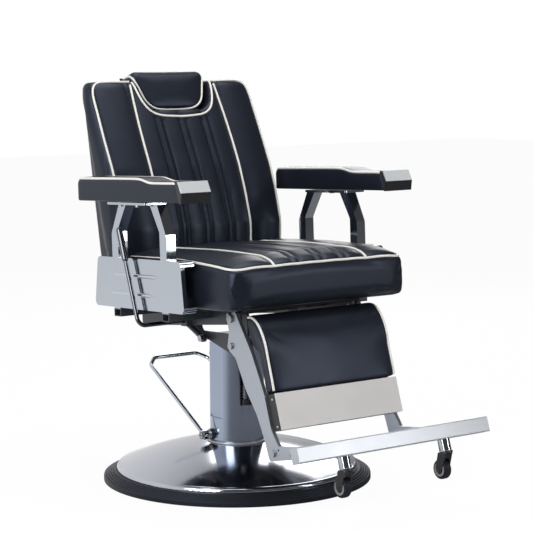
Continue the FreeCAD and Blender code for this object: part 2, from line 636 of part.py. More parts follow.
def seat_frame():
    """Two rails on two cross tubes, the board, and the pins that the leg rest and the strut turn on."""
    low = size("cross_top - cross_height")
    half = size("cross_width / 2")
    for name, y in (("cross_tube_front", size("cross_front_y")), ("cross_tube_rear", size("cross_rear_y"))):
        outside = block(SEAT, -size("seat_half_width + cross_overhang"), y - half, low,
                        "2 * (seat_half_width + cross_overhang)",
                        "cross_width", "cross_height")
        inside = block(SEAT, -size("seat_half_width + cross_overhang"), y - half + size("cross_wall"),
                       low + size("cross_wall"),
                       "2 * (seat_half_width + cross_overhang)", "cross_width - 2 * cross_wall",
                       "cross_height - 2 * cross_wall")
        keep(less(outside, [inside]), name)

    hinge = (size("hinge_y"), size("hinge_z"))
    pivot = (size("leg_pivot_y"), size("leg_pivot_z"))
    ear = size("rail_ear")
    top = size("rail_top")
    corners = [(size("rail_front"), size("rail_nose_z"), 6), (size("rail_rear"), size("rail_heel_z"), 14),
               (hinge[0] + ear, hinge[1] + ear, ear - 0.1), (hinge[0] - ear, hinge[1] + ear, ear - 0.1),
               (hinge[0] - ear - 8, top, 10), (size("rail_front"), top, 6)]
    for name, side in mirrored_sides():
        inner = -size("rail_outside") if side < 0 else size("rail_outside - rail_thickness")
        owner = plate("rail_" + name, SEAT, "YZ_Plane", [rounded(corners)], "rail_thickness", inner)
        windows = [rectangle(size(y) - half, low, size(y) + half, low + size("cross_height"))
                   for y in ("cross_front_y", "cross_rear_y")]
        holes = [circle(*hinge, "shaft_radius + running_gap"),
                 circle(*pivot, "leg_pin_radius + running_gap")]
        if side < 0:
            holes.append(circle(size("lever_y"), size("lever_z"), "lever_rod + running_gap"))
        pocket(owner, "YZ_Plane", windows + holes, "rail_thickness + 4", inner - 2)
        keep(owner, "seat_rail_" + name)

    wide, slim = size("seat_half_width - board_margin"), size("board_front_half_width")
    front, shoulder, rear = size("board_front"), size("board_shoulder_y"), size("board_rear")
    corners = [(-slim, front, 20), (slim, front, 20), (slim, shoulder, 0), (wide, shoulder, 12),
               (wide, rear, 20),
               (-wide, rear, 20), (-wide, shoulder, 12), (-slim, shoulder, 0)]
    keep(plate("board", SEAT, "XY_Plane", [rounded(corners)], "board_thickness", top), "seat_board")

    pins = []
    for name, side in mirrored_sides():
        inner = size("rail_outside - rail_thickness")
        head = size("leg_arm_inside + leg_arm_thickness + 1")
        low_x = inner if side > 0 else -head
        high_x = head if side > 0 else -head - size("bolt_head_height")
        pins.append(fused([rod(SEAT, low_x, *pivot, "leg_pin_radius",
                               "leg_arm_inside + leg_arm_thickness + 1 - rail_outside + rail_thickness"),
                           rod(SEAT, high_x, *pivot, "leg_pin_head", "bolt_head_height")]))
    reach = size("strut_x - strut_radius - 1")
    outer = -size("saddle_inside + saddle_side")
    strut = (size("strut_pin_y"), size("strut_pin_z"))
    pins.append(fused([rod(SEAT, reach, *strut, "pin_radius",
                           "strut_radius + 1 - saddle_inside - saddle_side - strut_x"),
                       rod(SEAT, reach - size("pin_head"), *strut, "pin_head_radius", "pin_head")]))
    if abs(outer - reach) < size("strut_eye_width"):
        raise ValueError("the strut's eye has no room on its pin")
    group("seat_pins", pins)


def side_panels():
    """Bright sheet-metal trays with returned edges and two louvres, and the square arm legs through them."""
    wall = size("panel_wall")
    corner = size("panel_corner")
    outline = [(size("panel_front_bottom"), size("panel_bottom")),
               (size("panel_rear_bottom"), size("panel_bottom")),
               (size("panel_rear_top"), size("panel_top")), (size("panel_front_top"), size("panel_top"))]
    inset = [(outline[0][0] + wall, outline[0][1] + wall), (outline[1][0] - wall, outline[1][1] + wall),
             (outline[2][0] - wall, outline[2][1] - wall), (outline[3][0] + wall, outline[3][1] - wall)]
    tube = size("tube_size")
    outside = size("seat_half_width + cross_overhang + panel_overhang")
    depth = size("panel_depth")
    leg_x = size("seat_half_width + cross_overhang - tube_size / 2")
    for name, side in mirrored_sides():
        low_x = -outside if side < 0 else outside - depth
        owner = plate("panel_" + name, FLOOR, "YZ_Plane", [rounded([(y, z, corner) for y, z in outline])],
                      "panel_depth", low_x)
        inner_x = low_x + wall if side < 0 else low_x - wall
        pocket(owner, "YZ_Plane", [rounded([(y, z, corner - wall) for y, z in inset])], "panel_depth",
               inner_x)
        edge_x = low_x + size("panel_return") if side < 0 else low_x - size("panel_return")
        z_low, z_high = size("panel_bottom") + corner, size("panel_top") - corner
        for y_low, y_high in ((outline[0][0] - 5, outline[3][0] + corner),
                              (outline[2][0] - corner, outline[1][0] + 5)):
            pocket(owner, "YZ_Plane", [rectangle(y_low, z_low, y_high, z_high)], "panel_depth", edge_x)
        gap = size("seat_gap")
        legs = [rectangle(side * leg_x - tube / 2 - gap, y - tube / 2 - gap, side * leg_x + tube / 2 + gap,
                          y + tube / 2 + gap) for y in (size("cross_front_y"), size("cross_rear_y"))]
        pocket(owner, "XY_Plane", legs, "panel_top - panel_bottom + 20", size("panel_bottom") - 10)
        louvres = []
        for level in ("upper", "lower"):
            front, rear = size("louvre_%s_front" % level), size("louvre_%s_rear" % level)
            radius = size("louvre_radius")
            profile = [Part.LineSegment(Vector(0, front, 0),
                                        Vector(radius, front + size("louvre_point"), 0)),
                       Part.LineSegment(Vector(radius, front + size("louvre_point"), 0),
                                        Vector(radius, rear - 6, 0)),
                       Part.Arc(Vector(radius, rear - 6, 0), Vector(radius * 0.7, rear - 1.6, 0),
                                Vector(0, rear, 0)),
                       Part.LineSegment(Vector(0, rear, 0), Vector(0, front, 0))]
            place = shifted(side * outside, 0, size("louvre_%s_z" % level)) * turned(X_AXIS, -90)
            if side < 0:
                place = place * turned(Z_AXIS, 180)
            louvres.append(turning("louvre_%s_%s" % (level, name), place, profile, 180.0))
        whole = fused([owner] + louvres)
        whole.Placement = SEAT
        keep(whole, "side_panel_" + name)

        top = size("arm_plate_top - arm_plate_thickness")
        lean, rise = size("arm_lean"), size("arm_lean_height")
        slant = math.hypot(lean, rise)
        half = tube / 2
        wide = half * slant / rise
        pair = []
        for y in (size("cross_front_y"), size("cross_rear_y")):
            over = y - lean if y > 0 else y + lean * 0.9
            way = 1 if over > y else -1
            near = top - (lean - way * 0 - (half - wide)) * rise / lean
            far = top - (lean + (half - wide)) * rise / lean
            corners = [(y - way * half, size("cross_top"), 0), (y + way * half, size("cross_top"), 0),
                       (y + way * half, far, 12), (over + way * wide, top, 0), (over - way * wide, top, 0),
                       (y - way * half, near, 24)]
            pair.append(plate("arm_leg", SEAT, "YZ_Plane", [rounded(corners)], "tube_size",
                              side * leg_x - half))
        group("arm_legs_" + name, pair)


def armrests():
    """Plates on the legs, upholstered pads, and the bright caps behind their dark strips."""
    plates, caps, strips, bolts = [], [], [], []
    half_width, half_length = size("arm_plate_width / 2"), size("arm_plate_length / 2")
    top = size("arm_plate_top")
    front, rear = size("armrest_front"), size("armrest_rear")
    high, low = size("armrest_top"), size("armrest_front_top")
    step = size("armrest_step_y")
    for name, side in mirrored_sides():
        x = side * size("seat_half_width + cross_overhang")
        y = size("arm_plate_y")
        plates.append(plate("arm_plate", SEAT, "XY_Plane",
                            [rectangle(x - half_width, y - half_length, x + half_width, y + half_length,
                                       5)],
                            "arm_plate_thickness", top - size("arm_plate_thickness")))
        for shift in (-0.5, 0.5):
            spot = (side * size("seat_half_width + cross_overhang + arm_bolt_offset"),
                    y + shift * size("arm_bolt_spacing"),
                    top - size("arm_plate_thickness + arm_bolt_head"))
            bolts.append(primitive("Cylinder", SEAT * shifted(*spot), Radius="arm_bolt_radius",
                                   Height="arm_bolt_head"))

        inner = side * size("seat_half_width + armrest_gap")
        if side < 0:
            inner -= size("armrest_width")
        lean = size("armrest_front_lean")
        corners = [(front - lean, top, 0), (rear, top, 0), (rear, high, 20), (step, high, 30),
                   (step - size("armrest_step_length"), low, 30), (front, low, 0)]
        owner = plate("armrest_" + name, SEAT, "YZ_Plane", [rounded(corners)], "armrest_width", inner)
        edges = []
        for i, edge in enumerate(owner.Shape.Edges, start=1):
            middle = SEAT.inverse().multVec(edge.CenterOfMass)
            ends = [SEAT.inverse().multVec(v.Point) for v in edge.Vertexes]
            flat = all(abs(end.x - middle.x) < 0.01 for end in ends)
            if flat and middle.z > top + 1 and middle.y > front + 1:
                edges.append("Edge%d" % i)
        round_edges(owner, edges, "armrest_round")
        keep(owner, "armrest_pad_" + name)

        end = front - size("strip_length")
        line = [(end, low - 1, 0), (end - size("cap_nose_length"), size("cap_nose_z"), 0),
                (end - size("cap_bottom_length"), top + 1, 0)]
        slope = lean / (low - top)
        behind = [(front - lean + slope, top + 1, 0), (front - slope, low - 1, 0)]
        strips.append(plate("arm_strip", SEAT, "YZ_Plane", [rounded(line + behind)], "armrest_width",
                            inner))
        outer = [(y - size("cap_thickness"), z, radius) for y, z, radius in reversed(line)]
        caps.append(plate("arm_cap", SEAT, "YZ_Plane", [rounded(line + outer)], "armrest_width", inner))
    group("arm_plates", plates)
    group("arm_bolts", bolts)
    group("arm_strips", strips)
    group("arm_caps", caps)


# Upholstery

def cushion_outline(half, back, edge, face, way, roll, narrow=0.0):
    """Section across a cushion, whose face has two bolsters and a panel with three channels.

    half is the half-width, back and edge are the levels of its back and of its side seams, face is the
    level of the panel's crest and way is the sign of the direction from back to face.
    """
    half -= narrow
    panel = min(size("panel_half_width"), half - 30)
    pitch = size("channel_pitch") * panel / size("panel_half_width")
    depth = size("channel_depth")
    bulge = size("cushion_bulge")
    crown = (face - edge) * way
    seam = edge + way * crown * 0.62

    def level(u):
        return face - way * crown * 0.38 * (u / panel) ** 2

    def at(u, v):
        return Vector(u, v, 0)

    right = [at(half - 10, back), at(half - 3, back + way * 3), at(half, back + way * 10)]
    right += [at(half + bulge, (back + edge) / 2), at(half, edge - way * roll)]
    right += [at(half - roll * 0.29, edge - way * roll * 0.29), at(half - roll, edge + way * crown * 0.1)]
    bolster = (half - roll + panel + 5) / 2
    right += [at(bolster, seam + way * crown * 0.16 + way * 2), at(panel + 5, seam)]
    right += [at(panel, seam - way * depth), at(panel - 5, level(panel - 5))]
    crests = [panel - 5]
    right.append(at((panel + pitch) / 2, level((panel + pitch) / 2) + way * 3))
    right += [at(pitch + 5, level(pitch)), at(pitch, level(pitch) - way * depth),
              at(pitch - 5, level(pitch))]
    right += [at(pitch / 2, level(pitch / 2) + way * 3), at(5, level(0))]
    points = right + [at(0, level(0) - way * depth)] + [at(-p.x, p.y) for p in reversed(right)]
    edges = [Part.Arc(points[i], points[i + 1], points[i + 2]) for i in range(0, len(points) - 2, 2)]
    edges.append(Part.LineSegment(points[-1], points[0]))
    return edges


def seat_cushion():
    """Seat cushion, lofted from front to rear."""
    front, rear = size("seat_front"), size("seat_rear")
    bottom = size("rail_top + board_thickness + seat_gap")
    drop, nose = size("seat_front_drop"), size("seat_nose")
    corner = size("seat_corner")
    sections = []
    for y, inset, sink, fall, lift in ((front, corner * 0.36, 15, 41, 14),
                                       (front + 5, corner * 0.2, 7, 31, 7.5),
                                       (front + 20, corner * 0.06, 1, 18, 3), (front + 60, 0, 0, 4, 0.6),
                                       ((front + rear) / 2, 0, 0, 0, 0.2), (rear - 40, 0, 0, 3, 0.3),
                                       (rear - 8, 6, 3, 9, 2), (rear, 14, 10, 18, 6)):
        edge = size("seat_edge") - drop * max(0.0, (front + nose - y) / nose) - sink
        crest = size("seat_edge + seat_crown") - fall
        outline = cushion_outline(size("seat_half_width"), bottom + lift, edge, crest, 1,
                                  size("cushion_roll"),
                                  inset)
        sections.append((-y, outline))
    keep(loft("seat_cushion", SEAT, "XZ_Plane", sections[::-1]), "seat_cushion")


def back_cushion():
    """Backrest cushion, lofted upwards, with room for its frame, the socket and the headrest."""
    half = size("seat_half_width - back_inset")
    low, high = size("back_bottom"), size("back_top")
    swell_top, swell_height = size("back_swell_top"), size("back_swell_height")
    levels = [(low, 118, 242, 12, 14), (low + 10, 115, 248, 3, 5), (596, 113, 256, 0, 0),
              (659, 112, 265, 0, 0),
              (743, 134, 277, 0, 0), (812, 157, 286, 0, 0), (892, 192, 297, 0, 0),
              (high - 42, 241, 310, 0, 0),
              (high - 12, 254, 312, 4, 3), (high, 264, 308, 12, 9)]
    sections = []
    for z, face, back, narrow, inset in levels:
        edge = face + 10 + 12 * max(0.0, (swell_top - z) / swell_height)
        outline = cushion_outline(half, back - inset * 0.3, edge, face, -1, size("cushion_roll") * 0.8,
                                  narrow)
        sections.append((z, outline))
    cushion = loft("back_padding", SEAT, "XY_Plane", sections)
    gap = size("seat_gap")
    thick = size("back_arm_thickness")
    slots = [block(SEAT, side * size("back_arm_x") - thick / 2 - gap, 145, low - 20,
                   "back_arm_thickness + 2 * seat_gap", "80", "back_arm_top - back_bottom + 20 + seat_gap")
             for side in (-1, 1)]
    drop = size("socket_length")
    socket = block(HEAD, -size("stem_width / 2 + socket_wall"), -size("stem_thickness / 2 + socket_wall"),
                   -drop,
                   "stem_width + 2 * socket_wall", "stem_thickness + 2 * socket_wall", "socket_length + 2")
    recess = plate("head_recess", HEAD, "XZ_Plane",
                   [head_outline(size("recess_gap"), size("recess_open"))], "3 * head_thickness",
                   -1.5 * size("head_thickness"))
    keep(less(cushion, slots + [socket, recess]), "back_cushion")


def head_outline(grow, top):
    """Front view of the headrest, or of the recess that it sits in."""
    low = size("head_bottom") - grow * 1.5
    slope = size("(head_high_half - head_low_half) / (head_height - head_bottom)")
    high_half = size("head_high_half") + grow + (top - size("head_height")) * slope
    low_half = size("head_low_half") + grow
    corner = size("head_corner")
    upper = size("head_top_corner")
    return rounded([(-low_half, low, corner), (low_half, low, corner), (high_half, top, upper),
                    (-high_half, top, upper)])


def headrest():
    """Headrest pad on its flat stem, and the socket that the stem slides in."""
    owner = plate("head_padding", HEAD, "XZ_Plane", [head_outline(0, size("head_height"))],
                  "head_thickness",
                  -size("head_thickness / 2"))
    edges = []
    half = size("head_thickness / 2")
    for i, edge in enumerate(owner.Shape.Edges, start=1):
        spots = [HEAD.inverse().multVec(v.Point) for v in edge.Vertexes]
        if all(abs(abs(spot.y) - half) < 0.01 for spot in spots) and spots[0].y * spots[-1].y > 0:
            edges.append("Edge%d" % i)
    round_edges(owner, edges, "head_round")
    keep(owner, "headrest_pad")

    foot = size("head_bottom - stem_length")
    keep(block(HEAD, -size("stem_width / 2"), -size("stem_thickness / 2"), foot, "stem_width",
               "stem_thickness",
               "stem_length"), "headrest_stem")
    low = -size("socket_length")
    outside = block(HEAD, -size("stem_width / 2 + socket_wall"), -size("stem_thickness / 2 + socket_wall"),
                    low,
                    "stem_width + 2 * socket_wall", "stem_thickness + 2 * socket_wall",
                    "socket_length + head_bottom - 1.5 * recess_gap")
    inside = block(HEAD, -size("stem_width / 2 + running_gap"), -size("stem_thickness / 2 + running_gap"),
                   low,
                   "stem_width + 2 * running_gap", "stem_thickness + 2 * running_gap", "socket_length + 10")
    keep(less(outside, [inside]), "headrest_socket")


# Recline gear

def back_frame():
    """Hinge shaft of the backrest, with its arms and the cranks of the link and the strut."""
    hinge = (size("hinge_y"), size("hinge_z"))
    end = size("rail_outside + seat_gap")
    shaft = rod(SEAT, -end, *hinge, "shaft_radius", "2 * (rail_outside + seat_gap)")
    heads = [rod(SEAT, end, *hinge, "shaft_radius + 3", "pin_head"),
             rod(SEAT, -end - size("pin_head"), *hinge, "shaft_radius + 3", "pin_head")]
    link = hinge_point("link_crank", "link_crank_angle")
    strut = hinge_point("strut_crank", "strut_crank_angle")
    lug = size("lug_thickness")
    shapes = [shaft] + heads
    for point, x, room in ((link, 0.0, size("link_width")),
                           (strut, size("strut_x"), size("strut_eye_width"))):
        inner = room / 2 + 2
        for low in (x - inner - lug, x + inner):
            shapes.append(plate("crank", SEAT, "YZ_Plane", [strap(*hinge, 16.0, *point, 9.0)],
                                "lug_thickness", low))
        shapes.append(rod(SEAT, x - inner - lug, *point, "pin_radius",
                          "link_width + 4 + 2 * lug_thickness"))
    thick = size("back_arm_thickness")
    high = size("back_arm_top")
    y, z = hinge
    width = size("back_arm_width")
    corners = [(y - 14, z - 12, 12), (y + 16, z - 14, 12), (y + 54, z + 30, 30), (y + 42 + width, high, 8),
               (y + 42, high, 8), (y + 10, z + 40, 30)]
    for side in (-1, 1):
        shapes.append(plate("back_arm", SEAT, "YZ_Plane", [rounded(corners)], "back_arm_thickness",
                            side * size("back_arm_x") - thick / 2))
    keep(fused(shapes), "back_frame")


def leg_link():
    """Bent flat link from the backrest's crank to the tie tube of the leg rest."""
    crank = hinge_point("link_crank", "link_crank_angle")
    tie = leg_point(size("tie_y"), size("tie_z"))
    reach = math.hypot(tie[0] - crank[0], tie[1] - crank[1])
    angle = math.degrees(math.atan2(crank[1] - tie[1], crank[0] - tie[0]))
    frame = SEAT * turned(X_AXIS, angle, y=crank[0], z=crank[1])
    half = size("link_height / 2")
    dip = size("link_dip")
    corners = [(0, half, 0), (-14, half, 6), (-34, half - dip, 10), (-116, half - dip, 10),
               (-142, half, 10),
               (-reach, half, 0), (-reach, -half, 0), (-146, -half, 10), (-118, -half - dip, 10),
               (-30, -half - dip, 10), (-8, -half, 6), (0, -half, 0)]
    bar = plate("link_bar", frame, "YZ_Plane", [rounded(corners)], "link_width", -size("link_width / 2"))
    eyes = [rod(frame, -size("link_width / 2"), 0, 0, "link_eye", "link_width"),
            rod(frame, -size("link_width / 2"), -reach, 0, "tie_radius + link_play + 5", "link_width")]
    bores = [rod(frame, -size("link_width"), 0, 0, "pin_radius + running_gap", "2 * link_width"),
             rod(frame, -size("link_width"), -reach, 0, "tie_radius + link_play", "2 * link_width")]
    keep(less(fused([bar] + eyes), bores), "leg_link")


def strut():
    """Recline strut: a tube on the saddle's pin, and the rod that the backrest's crank pushes into it."""
    foot = (size("strut_pin_y"), size("strut_pin_z"))
    crank = hinge_point("strut_crank", "strut_crank_angle")
    reach = math.hypot(crank[0] - foot[0], crank[1] - foot[1])
    angle = math.degrees(math.atan2(crank[1] - foot[1], crank[0] - foot[0]))
    frame = SEAT * turned(X_AXIS, angle, size("strut_x"), *foot)
    upright = frame * turned(X_AXIS, -90)
    half = size("strut_eye_width / 2")
    tube = primitive("Cylinder", upright, Radius="strut_radius", Height="strut_tube_end")
    eye = rod(frame, -half, 0, 0, "strut_eye", "strut_eye_width")
    hole = rod(frame, -2 * half, 0, 0, "pin_radius + running_gap", "2 * strut_eye_width")
    bore = primitive("Cylinder", upright * shifted(z=size("strut_tube_end - strut_bore_depth")),
                     Radius="strut_rod + running_gap", Height="strut_bore_depth + 1")
    keep(less(fused([tube, eye]), [hole, bore]), "strut_tube")

    start = size("strut_tube_end - strut_rod_engaged")
    shank = primitive("Cylinder", upright * shifted(z=start), Radius="strut_rod")
    shank.Height = reach - start
    eye = rod(frame, -half, reach, 0, "pin_radius + strut_eye_play + 3", "strut_eye_width")
    hole = rod(frame, -2 * half, reach, 0, "pin_radius + strut_eye_play", "2 * strut_eye_width")
    keep(less(fused([shank, eye]), [hole]), "strut_rod")


def recline_lever():
    """Lever that releases the strut, bent up outside the right-hand panel, and its block on the rail."""
    inner = size("lever_inner_end")
    outer = -size("seat_half_width + cross_overhang + panel_overhang + lever_gap")
    length = size("lever_length")
    path = bent_path([(inner, 0), (outer, 0), (outer, length)], size("lever_bend"))
    bar = swept("lever_bar", LEVER, ("XZ_Plane", path), "YZ_Plane", circle(0, 0, "lever_rod"), inner)
    low = length - size("lever_grip_length")
    grip = [primitive("Cylinder", LEVER * shifted(outer, 0, low), Radius="lever_grip",
                      Height="lever_grip_length"),
            primitive("Sphere", LEVER * shifted(outer, 0, length), Radius="lever_grip"),
            primitive("Sphere", LEVER * shifted(outer, 0, low), Radius="lever_grip")]
    keep(fused([bar] + grip), "recline_lever")

    width = size("lever_block_width")
    x = -size("rail_outside") - width
    half = size("lever_block / 2")
    body_block = block(SEAT, x, size("lever_y") - half, size("lever_z") - half, "lever_block_width",
                       "lever_block",
                       "lever_block")
    hole = rod(SEAT, x - 1, size("lever_y"), size("lever_z"), "lever_rod + running_gap",
               "lever_block_width + 2")
    keep(less(body_block, [hole]), "lever_block")


# Leg rest

def leg_arms():
    """Grey side arms with a hooked head and a toe, the tie tube, and what is bolted to them."""
    bolt = (size("toe_bolt_y"), size("toe_bolt_z"))
    toe = (size("toe_end_y"), size("toe_end_z"))
    half = size("toe_half_height")
    slot = size("leg_pin_radius + running_gap")
    tie = (size("tie_y"), size("tie_z"))
    slant = half * math.tan(math.radians(size("bumper_slant")))
    corners = [(-24, 13, 8), (-slot, 13, 3), (-slot, 0, 0), (slot, 0, 0), (slot, 16, 2), (16, 16, 5),
               (17, -30, 20), (tie[0] + 11, tie[1] + 11, 10), (tie[0] + 11, tie[1] - 10, 8), (11, -96, 20),
               (-6, -178, 100), (-31, -244, 60), (-41, -298, 40), (bolt[0] + 22, bolt[1] - half - 2, 12),
               (toe[0] - half + slant, toe[1] - half - 1, 10),
               (toe[0] - half - slant, toe[1] + half - 1, 4),
               (-91, -329, 10), (-76, -286, 60), (-75, -197, 100), (-57, -98, 100), (-27, -4, 20)]
    thick = size("leg_arm_thickness")
    for name, side in mirrored_sides():
        inner = size("leg_arm_inside") if side > 0 else -size("leg_arm_inside") - thick
        owner = plate("arm_plate_" + name, LEG, "YZ_Plane", [rounded(corners)], "leg_arm_thickness", inner)
        pocket(owner, "YZ_Plane", [circle(0, 0, "leg_pin_radius + running_gap")], "leg_arm_thickness + 2",
               inner - 1)
        pocket(owner, "YZ_Plane", [circle(bolt[0] - 22, bolt[1] + 5, "pin_radius - 1")],
               "leg_arm_thickness + 2", inner - 1)
        keep(owner, "leg_arm_" + name)

    keep(rod(LEG, -size("leg_arm_inside"), *tie, "tie_radius", "2 * leg_arm_inside"), "tie_tube")

    links, bolts, bumpers = [], [], []
    front = size("bar_y + bar_depth / 2")
    bar_half = size("bar_height / 2")
    for name, side in mirrored_sides():
        inner = size("leg_arm_inside - foot_link_thickness")
        low_x = inner if side > 0 else -size("leg_arm_inside")
        bar_z = size("bar_z")
        corners = [(bolt[0] + 14, bolt[1] + 12, 8), (front, bar_z + bar_half - 4, 0),
                   (front, bar_z - bar_half + 4, 0),
                   (toe[0], toe[1] - 12, 20), (bolt[0] + 14, bolt[1] - 13, 8)]
        links.append(plate("foot_link", LEG, "YZ_Plane", [rounded(corners)], "foot_link_thickness", low_x))
        head_x = size("leg_arm_inside + leg_arm_thickness")
        head_x = head_x if side > 0 else -head_x - size("bolt_head_height")
        for spot in (bolt, toe, tie):
            bolts.append(rod(LEG, head_x, *spot, "bolt_head_radius", "bolt_head_height"))
        place = LEG * turned(X_AXIS, 90 + size("bumper_slant"), side * size("bumper_x"), toe[0] - half,
                             toe[1] - 1)
        bumpers.append(primitive("Cylinder", place, Radius="bumper_radius", Height="bumper_length"))
    group("foot_links", links)
    group("leg_bolts", bolts)
    group("bumpers", bumpers)


def leg_rest():
    """Upholstered pad and kickplate on their sheet."""
    back, face = size("leg_pad_back"), size("leg_pad_front")
    low, high = size("leg_pad_bottom"), size("leg_pad_top")
    half = size("leg_pad_half_width")
    crown = size("leg_pad_crown")
    sections = []
    for x, inset, swell in ((-half, 7, 0), (-half + 5, 2, 0), (-half + 30, 0, crown * 0.4), (0, 0, crown),
                            (half - 30, 0, crown * 0.4), (half - 5, 2, 0), (half, 7, 0)):
        front = face + inset - swell
        top = high - inset
        outline = rounded([(back, low + size("seat_gap") + inset, 3),
                           (front, low + size("seat_gap") + inset, 6),
                           (front, top - 51, 24), (front + 3, top - 30, 16),
                           (back - 12 + inset / 2, top - 7, 5),
                           (back, top, 3)])
        sections.append((x, outline))
    keep(loft("leg_padding", LEG, "YZ_Plane", sections), "leg_pad")

    half = size("kick_half_width")
    bottom = size("kick_bottom")
    kick = size("kick_front")
    keep(block(LEG, -half, kick, bottom, "2 * kick_half_width", "kick_thickness",
               "leg_pad_bottom - kick_bottom"), "kickplate")
    board = kick + size("kick_thickness")
    keep(block(LEG, -half, board, bottom, "2 * kick_half_width",
               "leg_pad_back - kick_front - kick_thickness",
               "leg_pad_bottom - kick_bottom"), "kick_board")
    keep(block(LEG, -size("leg_arm_inside"), back, bottom, "2 * leg_arm_inside", "leg_sheet",
               "leg_pad_top - kick_bottom - 2"), "leg_sheet")


def footrest():
    """Flat footrest bar and the two casters under it."""
    half = size("bar_half_length")
    y, z = size("bar_y - bar_depth / 2"), size("bar_z - bar_height / 2")
    wall = size("bar_wall")
    owner = plate("bar_outside", LEG, "YZ_Plane",
                  [rectangle(y, z, y + size("bar_depth"), z + size("bar_height"), 3)],
                  "2 * bar_half_length", -half)
    inside = block(LEG, -half + wall, y + wall, z + wall, "2 * (bar_half_length - bar_wall)",
                   "bar_depth - 2 * bar_wall", "bar_height - 2 * bar_wall")
    keep(less(owner, [inside]), "footrest_bar")

    stems = []
    stem_y = size("caster_stem_y")
    stem_z = z - size("caster_stem_length")
    wheel = (stem_y + size("wheel_trail"), stem_z - size("fork_gap + wheel_drop"))
    cheek = size("fork_cheek")
    width = size("wheel_width")
    inner = width / 2 + size("fork_gap")
    for name, side in mirrored_sides():
        x = side * size("caster_x")
        stems.append(primitive("Cylinder", LEG * shifted(x, stem_y, stem_z), Radius="caster_stem_radius",
                               Height="caster_stem_length"))
        top = stem_z - size("fork_gap")
        crown = size("fork_crown")
        shapes = [plate("fork_crown", LEG, "XY_Plane", [circle(x, stem_y, "fork_radius")], "fork_crown",
                        top - crown)]
        corners = [(stem_y - 12, top, 2), (stem_y + 14, top, 2), (wheel[0] + 9, wheel[1] + 4, 8),
                   (wheel[0] + 4, wheel[1] - 8, 5), (wheel[0] - 8, wheel[1] - 7, 5)]
        for low_x in (x - inner - cheek, x + inner):
            shapes.append(plate("fork_cheek", LEG, "YZ_Plane", [rounded(corners)], "fork_cheek", low_x))
        shapes.append(rod(LEG, x - inner - cheek - 1.5, *wheel, "axle_radius",
                          "wheel_width + 2 * fork_gap + 2 * fork_cheek + 3"))
        keep(fused(shapes), "caster_fork_" + name)

        bore = size("axle_radius + running_gap")
        radius = size("wheel_radius")
        profile = rounded([(bore, -width / 2, 0), (radius * 0.45, -width / 2, 0),
                           (radius * 0.45, -width / 2 + 2, 0),
                           (radius * 0.72, -width / 2 + 2, 0), (radius * 0.72, -width / 2, 0),
                           (radius, -width / 2, 5),
                           (radius, width / 2, 5), (radius * 0.72, width / 2, 0),
                           (radius * 0.72, width / 2 - 2, 0),
                           (radius * 0.45, width / 2 - 2, 0), (radius * 0.45, width / 2, 0),
                           (bore, width / 2, 0)])
        keep(turning("caster_wheel_" + name, LEG * turned(Y_AXIS, 90, x, *wheel), profile),
             "caster_wheel_" + name)
    group("caster_stems", stems)


base()
column()
pump_plunger()
pedal()
saddle()
seat_frame()
side_panels()
armrests()
seat_cushion()
back_cushion()
headrest()
back_frame()
leg_link()
strut()
recline_lever()
leg_arms()
leg_rest()
footrest()
doc.recompute()

for obj in doc.Objects:
    if "Invalid" in obj.State or "Error" in obj.State:
        raise ValueError("%s failed to compute: %s" % (obj.Name, obj.State))
for label, obj in nodes.items():
    if obj.Shape.isNull() or not obj.Shape.isValid():
        raise ValueError("%s has no valid shape" % label)
os.makedirs("parts", exist_ok=True)
for label, obj in nodes.items():
    obj.Shape.exportStep("parts/%s.step" % label)
print("%d nodes" % len(nodes))
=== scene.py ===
"""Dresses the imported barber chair: upholstery, piping, metal finishes, studio and camera."""

import json
import logging
import math
from dataclasses import dataclass, field, replace
from enum import Enum
from typing import Callable, Optional

import bmesh
import bpy
from mathutils import Matrix, Vector
from mathutils.bvhtree import BVHTree
from mathutils.kdtree import KDTree


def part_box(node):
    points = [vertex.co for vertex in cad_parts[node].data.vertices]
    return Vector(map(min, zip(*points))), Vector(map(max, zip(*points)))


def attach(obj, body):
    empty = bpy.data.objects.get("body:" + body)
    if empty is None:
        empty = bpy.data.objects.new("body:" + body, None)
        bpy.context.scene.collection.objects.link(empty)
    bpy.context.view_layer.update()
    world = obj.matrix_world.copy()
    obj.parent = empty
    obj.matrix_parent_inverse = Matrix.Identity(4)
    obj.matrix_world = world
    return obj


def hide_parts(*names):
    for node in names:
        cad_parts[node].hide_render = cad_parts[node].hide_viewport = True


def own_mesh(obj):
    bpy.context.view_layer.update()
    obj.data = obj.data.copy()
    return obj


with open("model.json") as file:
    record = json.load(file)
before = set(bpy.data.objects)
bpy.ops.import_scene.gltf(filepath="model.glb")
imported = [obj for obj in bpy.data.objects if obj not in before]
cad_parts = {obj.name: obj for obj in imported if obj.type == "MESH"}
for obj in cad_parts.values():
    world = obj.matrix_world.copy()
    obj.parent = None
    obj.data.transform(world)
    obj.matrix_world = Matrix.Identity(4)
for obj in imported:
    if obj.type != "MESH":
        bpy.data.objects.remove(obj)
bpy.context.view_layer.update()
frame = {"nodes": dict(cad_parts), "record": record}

MM = 0.001
LOG = logging.getLogger("barber_chair")

SEAT = (Matrix.Translation((0, 0, 0.4)) @ Matrix.Rotation(math.radians(-2.5), 4, "X")
        @ Matrix.Translation((0, 0, -0.4)))
LEG = SEAT @ Matrix.Translation((0, -0.2487, 0.4506)) @ Matrix.Rotation(math.radians(-15.5), 4, "X")
HEAD = SEAT @ Matrix.Translation((0, 0.272, 0.95)) @ Matrix.Rotation(math.radians(-20), 4, "X")
FLOOR = Matrix.Identity(4)


# Shader node groups

class Surface(Enum):
    """Shader node groups that the finishes share."""

    GRAIN = "grain"
    EDGE_WEAR = "edge_wear"
    DUST = "dust"
    BRUSHING = "brushing"
    LEVEL = "level"


